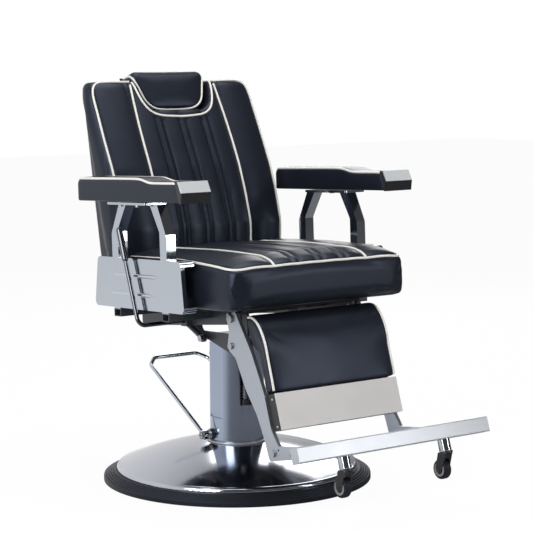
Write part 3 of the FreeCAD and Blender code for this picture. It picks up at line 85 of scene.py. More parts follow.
class Nodes:
    """Adds nodes to one shader tree."""

    def __init__(self, tree: bpy.types.NodeTree) -> None:
        """Takes the tree that gets the nodes."""
        self.tree = tree

    def node(self, kind: str, **settings) -> bpy.types.Node:
        """Adds a node.

        Args:
            kind: Blender's type name of the node.
            settings: Properties of the node.

        Returns:
            The new node.
        """
        made = self.tree.nodes.new(kind)
        for key, value in settings.items():
            setattr(made, key, value)
        return made

    def feed(self, slot: bpy.types.NodeSocket, value: object) -> None:
        """Links a socket into an input, or sets the input to a plain value."""
        if isinstance(value, bpy.types.NodeSocket):
            self.tree.links.new(value, slot)
        else:
            slot.default_value = value

    def filled(self, kind: str, inputs: dict[object, object], **settings) -> bpy.types.Node:
        """Adds a node and fills its inputs.

        Args:
            kind: Blender's type name of the node.
            inputs: Sockets or plain values by the input's name or number.
            settings: Properties of the node.

        Returns:
            The new node.
        """
        made = self.node(kind, **settings)
        for key, value in inputs.items():
            self.feed(made.inputs[key], value)
        return made

    def sum(self, operation: str, *terms: object) -> bpy.types.NodeSocket:
        """Adds a math node.

        Args:
            operation: The math operation.
            terms: Sockets or numbers.

        Returns:
            The node's output.
        """
        return self.filled("ShaderNodeMath", dict(enumerate(terms)), operation=operation).outputs[0]

    def mix(self, mask: bpy.types.NodeSocket, under: object, over: object) -> bpy.types.NodeSocket:
        """Lays a colour over another by a mask.

        Args:
            mask: How much of the upper colour shows.
            under: The lower colour.
            over: The upper colour.

        Returns:
            The mixed colour.
        """
        colours = {"Factor": mask, 6: under, 7: over}
        return self.filled("ShaderNodeMix", colours, data_type="RGBA").outputs[2]

    def spot(self, output: str = "Object") -> bpy.types.NodeSocket:
        """Place on the object, or the direction in the world."""
        return self.node("ShaderNodeTexCoord").outputs[output]

    def effect(self, surface: Surface, values: dict[str, float]) -> bpy.types.Node:
        """Places one of the shared groups with its own values."""
        return self.filled("ShaderNodeGroup", values, node_tree=GROUPS[surface])


class GroupMaker(Nodes):
    """Builds one shader node group with named inputs and outputs."""

    def __init__(self, surface: Surface, inlets: dict[str, float], outlets: tuple[str, ...]) -> None:
        """Starts a group.

        Args:
            surface: Which group it is.
            inlets: Name and default of each number that a material sets.
            outlets: Names of the outputs.
        """
        super().__init__(bpy.data.node_groups.new(surface.value, "ShaderNodeTree"))
        for name, value in inlets.items():
            made = self.tree.interface.new_socket(name, in_out="INPUT", socket_type="NodeSocketFloat")
            made.default_value = value
        for name in outlets:
            self.tree.interface.new_socket(name, in_out="OUTPUT", socket_type="NodeSocketFloat")
        self.given = self.node("NodeGroupInput").outputs
        self.results = self.node("NodeGroupOutput").inputs

    def limit(self, value: bpy.types.NodeSocket, name: str) -> None:
        """Gives out a value, at most 1, as the named result."""
        self.feed(self.results[name], self.sum("MINIMUM", value, 1.0))


def make_grain() -> bpy.types.NodeTree:
    """Leather grain, wide creases and slow changes of tone."""
    grain = GroupMaker(Surface.GRAIN, {"Cell size": 500.0, "Crease": 0.5}, ("Height", "Tone"))
    spot = grain.spot()
    cells = grain.filled("ShaderNodeTexVoronoi", {"Vector": spot, "Scale": grain.given["Cell size"],
                                                  "Smoothness": 0.35}, feature="SMOOTH_F1")
    folds = grain.filled("ShaderNodeTexNoise", {"Vector": spot, "Scale": 26.0, "Detail": 3.0}).outputs[0]
    soft = grain.filled("ShaderNodeTexNoise", {"Vector": spot, "Scale": 7.0}).outputs[0]
    fine = grain.sum("MULTIPLY", cells.outputs["Distance"], 0.55)
    wide = grain.sum("MULTIPLY", folds, grain.given["Crease"])
    grain.feed(grain.results["Height"], grain.sum("ADD", fine, wide))
    grain.feed(grain.results["Tone"], grain.sum("MULTIPLY_ADD", soft, 0.7, grain.sum("MULTIPLY", folds, 0.3)))
    return grain.tree


def make_wear() -> bpy.types.NodeTree:
    """Broken wear where an edge turns."""
    wear = GroupMaker(Surface.EDGE_WEAR, {"Width": 0.002, "Amount": 0.5}, ("Mask",))
    rounded = wear.filled("ShaderNodeBevel", {"Radius": wear.given["Width"]}, samples=4)
    normal = wear.node("ShaderNodeNewGeometry").outputs["Normal"]
    facing = wear.filled("ShaderNodeVectorMath", {0: rounded.outputs[0], 1: normal}, operation="DOT_PRODUCT")
    turned = wear.sum("MULTIPLY", wear.sum("SUBTRACT", 1.0, facing.outputs["Value"]), 5.0)
    patches = wear.filled("ShaderNodeTexNoise", {"Vector": wear.spot(), "Scale": 60.0}).outputs[0]
    broken = wear.sum("MULTIPLY", turned, wear.sum("MULTIPLY", patches, 1.6))
    wear.limit(wear.sum("MULTIPLY", broken, wear.given["Amount"]), "Mask")
    return wear.tree


def make_dust() -> bpy.types.NodeTree:
    """Thin dust, more of it where the surface looks up."""
    dust = GroupMaker(Surface.DUST, {"Amount": 0.2, "Patch size": 12.0}, ("Mask",))
    clouds = dust.filled("ShaderNodeTexNoise", {"Vector": dust.spot(), "Scale": dust.given["Patch size"],
                                                "Detail": 5.0}).outputs[0]
    normal = dust.node("ShaderNodeNewGeometry").outputs["Normal"]
    up = dust.filled("ShaderNodeSeparateXYZ", {0: normal}).outputs["Z"]
    upward = dust.sum("MAXIMUM", dust.sum("MULTIPLY_ADD", up, 0.6, 0.4), 0.1)
    dust.limit(dust.sum("MULTIPLY", dust.sum("MULTIPLY", clouds, upward), dust.given["Amount"]), "Mask")
    return dust.tree


def make_brushing() -> bpy.types.NodeTree:
    """Fine lines of brushed metal, or the fibres of a board."""
    brush = GroupMaker(Surface.BRUSHING, {"Along X": 4.0, "Along Y": 900.0, "Along Z": 900.0}, ("Height",))
    ways = brush.filled("ShaderNodeCombineXYZ", {axis: brush.given["Along " + axis] for axis in "XYZ"})
    stretched = brush.filled("ShaderNodeVectorMath", {0: brush.spot(), 1: ways.outputs[0]},
                             operation="MULTIPLY")
    lines = brush.filled("ShaderNodeTexNoise", {"Vector": stretched.outputs[0], "Scale": 1.0})
    brush.feed(brush.results["Height"], lines.outputs[0])
    return brush.tree


def make_level() -> bpy.types.NodeTree:
    """A sharp change at a height, used to paint shade under it, such as the lower facet of a cap."""
    level = GroupMaker(Surface.LEVEL, {"Level": 0.5}, ("Below",))
    height = level.filled("ShaderNodeSeparateXYZ", {0: level.spot()}).outputs["Z"]
    steep = level.sum("MULTIPLY_ADD", level.sum("SUBTRACT", level.given["Level"], height), 1500.0, 0.5)
    level.limit(level.sum("MAXIMUM", steep, 0.0), "Below")
    return level.tree


GROUPS: dict[Surface, bpy.types.NodeTree] = {
    Surface.GRAIN: make_grain(), Surface.EDGE_WEAR: make_wear(), Surface.DUST: make_dust(),
    Surface.BRUSHING: make_brushing(), Surface.LEVEL: make_level()}


# Finishes

Colour = tuple[float, float, float]

DUST_COLOUR = (0.55, 0.53, 0.5, 1)
DUST_DULLS = 0.35
WEAR_WIDTH = 0.0015


@dataclass(frozen=True)
class Finish:
    """One material: two tones, gloss, grain, wear, dust and painted shade under a height."""

    name: str
    colour: Colour
    second: Colour
    roughness: float = 0.4
    rough_spread: float = 0.08
    metallic: float = 0.0
    specular: float = 0.5
    cell: float = 500.0
    crease: float = 0.4
    bump: float = 0.1
    bump_reach: float = 0.0004
    wear: float = 0.0
    wear_colour: Colour = (0.6, 0.6, 0.6)
    dust: float = 0.0
    brushed: Optional[tuple[float, float, float]] = None
    # Under the height split the colour is replaced by a painted shade colour; 0 paints none.
    split: float = 0.0
    painted_shade_below: Colour = (0.02, 0.02, 0.02)
    tint: Colour = (1.0, 1.0, 1.0)

    def make(self) -> bpy.types.Material:
        """Builds the material.

        Returns:
            The material.
        """
        material = bpy.data.materials.new(self.name)
        material.use_nodes = True
        nodes = Nodes(material.node_tree)
        shader = material.node_tree.nodes["Principled BSDF"]
        for name, value in (("Metallic", self.metallic), ("Specular IOR Level", self.specular),
                            ("Specular Tint", (*self.tint, 1))):
            shader.inputs[name].default_value = value

        grain = nodes.effect(Surface.GRAIN, {"Cell size": self.cell, "Crease": self.crease})
        tone = grain.outputs["Tone"]
        colour = nodes.mix(tone, (*self.colour, 1), (*self.second, 1))
        roughness = nodes.sum("MULTIPLY_ADD", tone, self.rough_spread, self.roughness - self.rough_spread / 2)
        # Painted shade: under the split height the colour gives way to the shade colour.
        if self.split:
            level = nodes.effect(Surface.LEVEL, {"Level": self.split})
            colour = nodes.mix(level.outputs["Below"], colour, (*self.painted_shade_below, 1))
        if self.wear:
            edge = nodes.effect(Surface.EDGE_WEAR, {"Width": WEAR_WIDTH, "Amount": self.wear})
            colour = nodes.mix(edge.outputs["Mask"], colour, (*self.wear_colour, 1))
        if self.dust:
            film = nodes.effect(Surface.DUST, {"Amount": self.dust})
            colour = nodes.mix(film.outputs["Mask"], colour, DUST_COLOUR)
            roughness = nodes.sum("MULTIPLY_ADD", film.outputs["Mask"], DUST_DULLS, roughness)
        nodes.feed(shader.inputs["Base Color"], colour)
        nodes.feed(shader.inputs["Roughness"], roughness)

        if self.bump:
            height = grain.outputs["Height"]
            if self.brushed:
                ways = zip(("Along X", "Along Y", "Along Z"), self.brushed)
                height = nodes.effect(Surface.BRUSHING, dict(ways)).outputs["Height"]
            relief = nodes.filled("ShaderNodeBump", {"Strength": self.bump, "Distance": self.bump_reach,
                                                     "Height": height})
            nodes.feed(shader.inputs["Normal"], relief.outputs["Normal"])
        return material


LEATHERETTE = Finish("leatherette", (0.005, 0.0062, 0.011), (0.0085, 0.0102, 0.017), roughness=0.36,
                     rough_spread=0.1, specular=0.4, tint=(0.64, 0.75, 1.0), cell=620.0, crease=0.5,
                     bump=0.2, bump_reach=0.0005, dust=0.008)
PIPING = Finish("piping", (0.74, 0.73, 0.69), (0.64, 0.63, 0.59), roughness=0.42, cell=900.0, bump=0.08,
                dust=0.03)
CHROME = Finish("chrome", (0.56, 0.60, 0.66), (0.51, 0.55, 0.61), roughness=0.09, rough_spread=0.05,
                metallic=1.0, cell=30.0, crease=0.2, bump=0.0, dust=0.02)
COLUMN_CHROME = replace(CHROME, name="column_chrome", colour=(0.36, 0.41, 0.52), second=(0.33, 0.38, 0.48),
                        roughness=0.16, rough_spread=0.06)
DOME_CHROME = replace(CHROME, name="dome_chrome", colour=(0.54, 0.55, 0.61), second=(0.48, 0.50, 0.56),
                      roughness=0.12, rough_spread=0.08, bump=0.02, dust=0.05)
BLACK_CHROME = replace(CHROME, name="lever_chrome", colour=(0.15, 0.16, 0.18), second=(0.12, 0.13, 0.15),
                       roughness=0.16, rough_spread=0.08)
# Armrest caps: a pale, mostly non-metal colour paints a highlight on the upper facet, and the lower facet is
# painted near-black shade.
CAP_CHROME_PAINTED_LIGHT = replace(CHROME, name="cap_chrome_painted_light", colour=(0.62, 0.64, 0.66), second=(0.56, 0.58, 0.60),
                     roughness=0.22, rough_spread=0.08, metallic=0.25, split=0.7772,
                     painted_shade_below=(0.012, 0.013, 0.016))
STEEL = Finish("machined_steel", (0.46, 0.47, 0.49), (0.38, 0.39, 0.41), roughness=0.28, metallic=1.0,
               cell=900.0, bump=0.05, wear=0.5, wear_colour=(0.75, 0.75, 0.77))
CAST = Finish("cast_iron", (0.05, 0.05, 0.053), (0.08, 0.08, 0.08), roughness=0.7, metallic=0.6, cell=350.0,
              bump=0.5, dust=0.2)
SLATE = Finish("slate_paint", (0.028, 0.033, 0.043), (0.020, 0.024, 0.032), roughness=0.36, cell=700.0,
               bump=0.08, wear=0.3, wear_colour=(0.16, 0.17, 0.19), dust=0.03)
GREY_PAINT = Finish("grey_paint", (0.44, 0.47, 0.52), (0.36, 0.39, 0.44), roughness=0.3, metallic=0.85,
                    cell=800.0, bump=0.05, wear=0.4, wear_colour=(0.82, 0.83, 0.85), dust=0.03)
BLACK_PAINT = Finish("black_paint", (0.012, 0.012, 0.014), (0.017, 0.017, 0.02), roughness=0.36, cell=700.0,
                     bump=0.1, wear=0.25, wear_colour=(0.12, 0.12, 0.13), dust=0.04)
RUBBER = Finish("black_rubber", (0.009, 0.010, 0.014), (0.014, 0.015, 0.019), roughness=0.5, specular=0.25,
                cell=420.0, bump=0.2, tint=(0.6, 0.7, 1.0), dust=0.015)
PLASTIC = Finish("black_plastic", (0.012, 0.012, 0.014), (0.016, 0.016, 0.018), roughness=0.38, cell=1000.0,
                 bump=0.12, dust=0.02)
BOARD = Finish("board_lining", (0.018, 0.018, 0.020), (0.026, 0.026, 0.028), roughness=0.8, bump=0.3,
               brushed=(260.0, 260.0, 260.0))
SILVER = Finish("silver_bar", (0.47, 0.49, 0.52), (0.42, 0.44, 0.47), roughness=0.3, metallic=0.5, bump=0.06,
                brushed=(3.0, 700.0, 700.0), wear=0.3, wear_colour=(0.80, 0.80, 0.82), dust=0.02)
KICK = Finish("kickplate", (0.50, 0.49, 0.485), (0.45, 0.44, 0.435), roughness=0.42, metallic=0.4, bump=0.06,
              brushed=(3.0, 700.0, 700.0), wear=0.3, wear_colour=(0.80, 0.80, 0.80), dust=0.03)
TYRE_RING = Finish("wheel_ring", (0.20, 0.20, 0.21), (0.16, 0.16, 0.17), roughness=0.45, cell=900.0,
                   bump=0.05)

FINISHES: dict[str, bpy.types.Material] = {}


def finish(look: Finish) -> bpy.types.Material:
    """Gives a finish's material, made once.

    Args:
        look: The finish.

    Returns:
        Its material.
    """
    if look.name not in FINISHES:
        FINISHES[look.name] = look.make()
    return FINISHES[look.name]


# Mesh helpers

def linked(name: str, data: bpy.types.ID) -> bpy.types.Object:
    """Adds an object with its mesh, lamp or camera to the scene."""
    made = bpy.data.objects.new(name, data)
    bpy.context.collection.objects.link(made)
    return made


def place(name: str, mesh: bpy.types.Mesh, look: Finish) -> bpy.types.Object:
    """Puts a mesh into the scene.

    Args:
        name: Name of the new object.
        mesh: Its mesh, in the frame of the whole part.
        look: Its finish.

    Returns:
        The object.
    """
    made = linked(name, mesh)
    mesh.materials.clear()
    mesh.materials.append(finish(look))
    for face in mesh.polygons:
        face.use_smooth = True
    return made


def band(body: bmesh.types.BMesh, low: list[bmesh.types.BMVert], high: list[bmesh.types.BMVert],
         closed: bool = True) -> None:
    """Adds the faces between two rows of points.

    Args:
        body: Mesh that takes the faces.
        low: The first row.
        high: The second row.
        closed: Whether the rows are rings.
    """
    for k in range(len(low) if closed else len(low) - 1):
        after = (k + 1) % len(low)
        body.faces.new((low[k], low[after], high[after], high[k]))


def as_mesh(name: str, body: bmesh.types.BMesh, base: Matrix) -> bpy.types.Mesh:
    """Turns a body into a mesh in the frame of the whole part, and frees the body."""
    mesh = bpy.data.meshes.new(name)
    body.to_mesh(mesh)
    body.free()
    mesh.transform(base)
    return mesh


def tree_of(points: list[Vector]) -> KDTree:
    """Indexes points for looking up the nearest."""
    tree = KDTree(len(points))
    for i, point in enumerate(points):
        tree.insert(point, i)
    tree.balance()
    return tree


def tube(body: bmesh.types.BMesh, line: list[Vector], radius: float, closed: bool, sides: int = 10) -> None:
    """Adds a round tube along a line.

    Args:
        body: Mesh that takes the tube.
        line: Points of the centre line.
        radius: Radius of the tube.
        closed: Whether the ends meet.
        sides: Number of sides.
    """
    count = len(line)
    rings = []
    across = None
    for i, point in enumerate(line):
        before = line[(i - 1) % count] if closed or i else line[0]
        after = line[(i + 1) % count] if closed or i < count - 1 else line[-1]
        way = (after - before).normalized()
        if across is None:
            across = way.orthogonal().normalized()
        across = (across - way * across.dot(way)).normalized()
        other = way.cross(across)
        rings.append([body.verts.new(point + (across * math.cos(a) + other * math.sin(a)) * radius)
                      for a in (2 * math.pi * k / sides for k in range(sides))])
    for low, high in zip(rings, rings[1:]):
        band(body, low, high)
    if closed:
        start = min(range(sides), key=lambda k: (rings[0][k].co - rings[-1][0].co).length)
        band(body, rings[-1], rings[0][start:] + rings[0][:start])
    else:
        for ring in (rings[0][::-1], rings[-1]):
            body.faces.new(ring)


def smooth_line(points: list[Vector], step: float, closed: bool = False) -> list[Vector]:
    """Resamples a line at even steps on a smooth curve.

    Args:
        points: Corner points.
        step: Distance between the new points.
        closed: Whether the line is a loop.

    Returns:
        The new points.
    """
    count = len(points)
    spans = count if closed else count - 1

    def at(i: int) -> Vector:
        return points[i % count] if closed else points[max(0, min(count - 1, i))]

    line = []
    for i in range(spans):
        p0, p1, p2, p3 = at(i - 1), at(i), at(i + 1), at(i + 2)
        pieces = max(1, round((p2 - p1).length / step))
        for k in range(pieces):
            t = k / pieces
            line.append(0.5 * ((2 * p1) + (p2 - p0) * t + (2 * p0 - 5 * p1 + 4 * p2 - p3) * t ** 2
                               + (3 * p1 - p0 - 3 * p2 + p3) * t ** 3))
    if not closed:
        line.append(points[-1].copy())
    return line


def evaluated(piece: bpy.types.Object) -> bpy.types.Mesh:
    """Reads a piece's mesh with its modifiers applied, and takes the piece away."""
    graph = bpy.context.evaluated_depsgraph_get()
    mesh = bpy.data.meshes.new_from_object(piece.evaluated_get(graph))
    bpy.data.objects.remove(piece)
    return mesh


def modified(mesh: bpy.types.Mesh, kind: str, **settings) -> bpy.types.Mesh:
    """Applies one modifier to a mesh.

    Args:
        mesh: The mesh.
        kind: Blender's name of the modifier.
        settings: Properties of the modifier.

    Returns:
        The new mesh.
    """
    holder = linked("holder", mesh)
    modifier = holder.modifiers.new("applied", kind)
    for key, value in settings.items():
        setattr(modifier, key, value)
    return evaluated(holder)


# Upholstery

CLOTH_FRAMES = 20
HOLD_STEP = 2.5
HOLD_REACH, HOLD_FADE, SEWN_HOLD = 0.004, 0.010, 0.75
CUT_REACH = 2.2
GROOVE_FILL = 0.8


class SeamKind(Enum):
    """How a seam of the upholstery is made."""

    PIPED = "piped"
    SEWN = "sewn"


def along(x: float, profile: tuple[tuple[float, float], ...]) -> list[tuple[float, float, float]]:
    """Points of a line that keeps its place across."""
    return [(x, y, z) for y, z in profile]


@dataclass
class Seam:
    """One seam line on a cushion, in the cushion's own frame, in millimetres."""

    points: list[tuple[float, float, float]]
    kind: SeamKind = SeamKind.PIPED
    closed: bool = False
    depth: float = 3.0
    width: float = 4.5
    smoothing: int = 24

    def line(self, step: float = 3.0) -> list[Vector]:
        """Points of the seam at even steps, in metres."""
        return smooth_line([Vector(point) * MM for point in self.points], step * MM, self.closed)


@dataclass(frozen=True)
class Fold:
    """The plane at which a cushion's upper part is cut off by a joint."""

    joint: str
    axis: Vector
    anchor: Vector
    keep: float = 0.1

    def beyond(self, point: Vector) -> bool:
        """Whether a point in metres lies on the side that folds."""
        return (point - self.anchor * MM).dot(self.axis) > 0

    def share(self, line: list[Vector], beyond: bool) -> list[Vector]:
        """Points of a line on one side of the fold, up to the fold itself.

        Args:
            line: The line, in metres.
            beyond: Whether to keep the side that folds.

        Returns:
            The points kept.
        """
        kept = []
        for first, second in zip(line, line[1:]):
            if self.beyond(first) == beyond:
                kept.append(first)
            if self.beyond(first) != self.beyond(second):
                gap = second - first
                kept.append(first + gap * ((self.anchor * MM - first).dot(self.axis) / gap.dot(self.axis)))
        return kept + ([line[-1]] if self.beyond(line[-1]) == beyond else [])

    def apply(self, piece: bpy.types.Object, base: Matrix) -> None:
        """Gives a finished piece its own copy of its mesh.

        Args:
            piece: The piece.
            base: Frame in which the axis and the anchor are given; not used.
        """
        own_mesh(piece)


@dataclass
class Cushion:
    """One upholstered piece that replaces its CAD solid."""

    node: str
    body: str
    base: Matrix
    seams: list[Seam]
    facing: Vector
    voxel: float = 5.0
    shrink: float = 3.0
    pressure: float = 4.0
    cap: float = 6.0
    fill: float = 0.7
    grooves: tuple[float, ...] = ()
    groove_depth: float = 4.0
    groove_half: float = 7.0
    piping_radius: float = 3.0
    smoothing: int = 2
    rests: Callable[[Vector], bool] = field(default=lambda point: False)
    extra: Optional[Callable[[], bmesh.types.BMesh]] = None
    fold: Optional[Fold] = None

    def build(self) -> None:
        """Makes the cushion and its piping."""
        mesh = self.skin()
        self.inflate(mesh)
        mesh = modified(mesh, "SUBSURF", levels=1)
        lines = self.sew(mesh)
        if self.fold:
            skins = {"": self.cut(mesh, False), "_fold": self.cut(mesh, True)}
        else:
            mesh.transform(self.base)
            skins = {"": mesh}
        for part, skin in skins.items():
            piece = place(self.node + part + "_cover", skin, LEATHERETTE)
            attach(piece, self.body)
            if not part:
                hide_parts(self.node)
            if part:
                self.fold.apply(piece, self.base)
        if lines:
            self.pipe(lines)
        LOG.info("%s: %d points, %d piped seams", self.node, len(mesh.vertices), len(lines))

    def cut(self, mesh: bpy.types.Mesh, beyond: bool) -> bpy.types.Mesh:
        """Keeps one side of the fold's plane.

        Args:
            mesh: The whole cover.
            beyond: Whether to keep the side that folds.

        Returns:
            A new mesh of that side, in the frame of the whole part.
        """
        body = bmesh.new()
        body.from_mesh(mesh)
        every = body.verts[:] + body.edges[:] + body.faces[:]
        bmesh.ops.bisect_plane(body, geom=every, dist=1e-6, plane_co=self.fold.anchor * MM,
                               plane_no=self.fold.axis, clear_inner=beyond, clear_outer=not beyond)
        return as_mesh(self.node, body, self.base)

    def skin(self) -> bpy.types.Mesh:
        """Copies the CAD solid's mesh, remeshed and shrunk, into the cushion's frame.

        Returns:
            The mesh, in metres in the cushion's frame.
        """
        mesh = frame["nodes"][self.node].data.copy()
        mesh.transform(self.base.inverted())
        if self.extra:
            body = self.extra()
            body.from_mesh(mesh)
            body.to_mesh(mesh)
            body.free()
        even = modified(mesh, "REMESH", mode="VOXEL", voxel_size=self.voxel * MM)
        for _ in range(self.smoothing):
            self.relax(even)
        normals = [vertex.normal.copy() for vertex in even.vertices]
        for vertex, normal in zip(even.vertices, normals):
            vertex.co -= normal * self.shrink * MM
            if self.grooves and normal.dot(self.facing) > 0.3:
                near = min(abs(vertex.co.x / MM - groove) for groove in self.grooves)
                if near < self.groove_half:
                    bulge = 1 - (near / self.groove_half) ** 2
                    vertex.co += self.facing * self.groove_depth * MM * bulge * GROOVE_FILL
        return even

    @staticmethod
    def relax(mesh: bpy.types.Mesh) -> None:
        """Smooths a mesh by one step, half of the way to the neighbours' middle.

        Args:
            mesh: The mesh, changed in place.
        """
        sums = [Vector() for _ in mesh.vertices]
        counts = [0] * len(mesh.vertices)
        for edge in mesh.edges:
            a, b = edge.vertices
            sums[a] += mesh.vertices[b].co
            sums[b] += mesh.vertices[a].co
            counts[a] += 1
            counts[b] += 1
        for vertex, total, count in zip(mesh.vertices, sums, counts):
            if count:
                vertex.co = vertex.co.lerp(total / count, 0.5)
        mesh.update()

    def inflate(self, mesh: bpy.types.Mesh) -> None:
        """Swells the skin by cloth simulation, held at its seams and where it rests.

        Args:
            mesh: The skin, changed in place.
        """
        spots = [(point, seam) for seam in self.seams for point in seam.line(HOLD_STEP)]
        tree = tree_of([point for point, _ in spots])
        start = [vertex.co.copy() for vertex in mesh.vertices]
        held = []
        for vertex in mesh.vertices:
            _, index, distance = tree.find(vertex.co)
            strength = 1.0 if spots[index][1].kind is SeamKind.PIPED else SEWN_HOLD
            weight = strength * max(0.0, 1.0 - max(0.0, distance - HOLD_REACH) / HOLD_FADE)
            if self.rests(vertex.co / MM):
                weight = 1.0
            held.append(weight)
        piece = linked("swelling", mesh)
        group = piece.vertex_groups.new(name="held")
        for i, weight in enumerate(held):
            if weight > 0:
                group.add([i], weight, "REPLACE")
        cloth = piece.modifiers.new("air", "CLOTH")
        cloth.settings.effector_weights.gravity = 0.0
        for name, value in (("quality", 4), ("mass", 0.3), ("use_pressure", True),
                            ("uniform_pressure_force", self.pressure), ("vertex_group_mass", "held"),
                            ("tension_stiffness", 12), ("compression_stiffness", 12),
                            ("bending_stiffness", 1.0)):
            setattr(cloth.settings, name, value)
        cloth.point_cache.frame_start, cloth.point_cache.frame_end = 1, CLOTH_FRAMES
        scene = bpy.context.scene
        scene.frame_start, scene.frame_end = 1, CLOTH_FRAMES
        for number in range(1, CLOTH_FRAMES + 1):
            scene.frame_set(number)
        swollen = evaluated(piece)
        scene.frame_set(1)
        limit = self.cap * MM
        for vertex, before, after in zip(mesh.vertices, start, swollen.vertices):
            move = after.co - before
            if move.length > limit:
                move *= limit / move.length
            vertex.co = before + move
        mesh.update()
        self.relax(mesh)

    def sew(self, mesh: bpy.types.Mesh) -> list[tuple[Seam, list[Vector]]]:
        """Draws the seams into the surface.

        Args:
            mesh: The fine mesh, changed in place.

        Returns:
            Each piped seam with its line on the surface.
        """
        before = BVHTree.FromPolygons([vertex.co for vertex in mesh.vertices],
                                      [tuple(face.vertices) for face in mesh.polygons])
        cuts = [(seam, self.snap(seam, before)) for seam in self.seams]
        normals = [vertex.normal.copy() for vertex in mesh.vertices]
        for seam, line in cuts:
            tree = tree_of(line)
            reach = seam.width * MM * CUT_REACH
            for vertex, normal in zip(mesh.vertices, normals):
                distance = tree.find(vertex.co)[2]
                if distance < reach:
                    vertex.co -= normal * seam.depth * MM * math.exp(-(distance / (seam.width * MM)) ** 2)
        mesh.update()
        return [(seam, line) for seam, line in cuts if seam.kind is SeamKind.PIPED]

    def snap(self, seam: Seam, surface: BVHTree) -> list[Vector]:
        """Lays a seam's line on the surface.

        Args:
            seam: The seam.
            surface: The cushion's surface.

        Returns:
            The line, smoothed, on the surface.
        """
        line = [surface.find_nearest(point)[0] for point in seam.line()]
        for _ in range(seam.smoothing):
            inner = range(len(line)) if seam.closed else range(1, len(line) - 1)
            line = [(point + (line[i - 1] + line[(i + 1) % len(line)]) * 0.5) * 0.5 if i in inner else point
                    for i, point in enumerate(line)]
        return line

    def pipe(self, lines: list[tuple[Seam, list[Vector]]]) -> None:
        """Makes the piping along the piped seams.

        Args:
            lines: Each piped seam with its line on the surface.
        """
        for part in ("", "_fold") if self.fold else ("",):
            body = bmesh.new()
            for seam, line in lines:
                if self.fold:
                    line = self.fold.share(line, bool(part))
                if len(line) > 2:
                    tube(body, line, self.piping_radius * MM, seam.closed)
            name = self.node + part + "_piping"
            piece = place(name, as_mesh(name, body, self.base), PIPING)
            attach(piece, self.body)
            if part:
                self.fold.apply(piece, self.base)


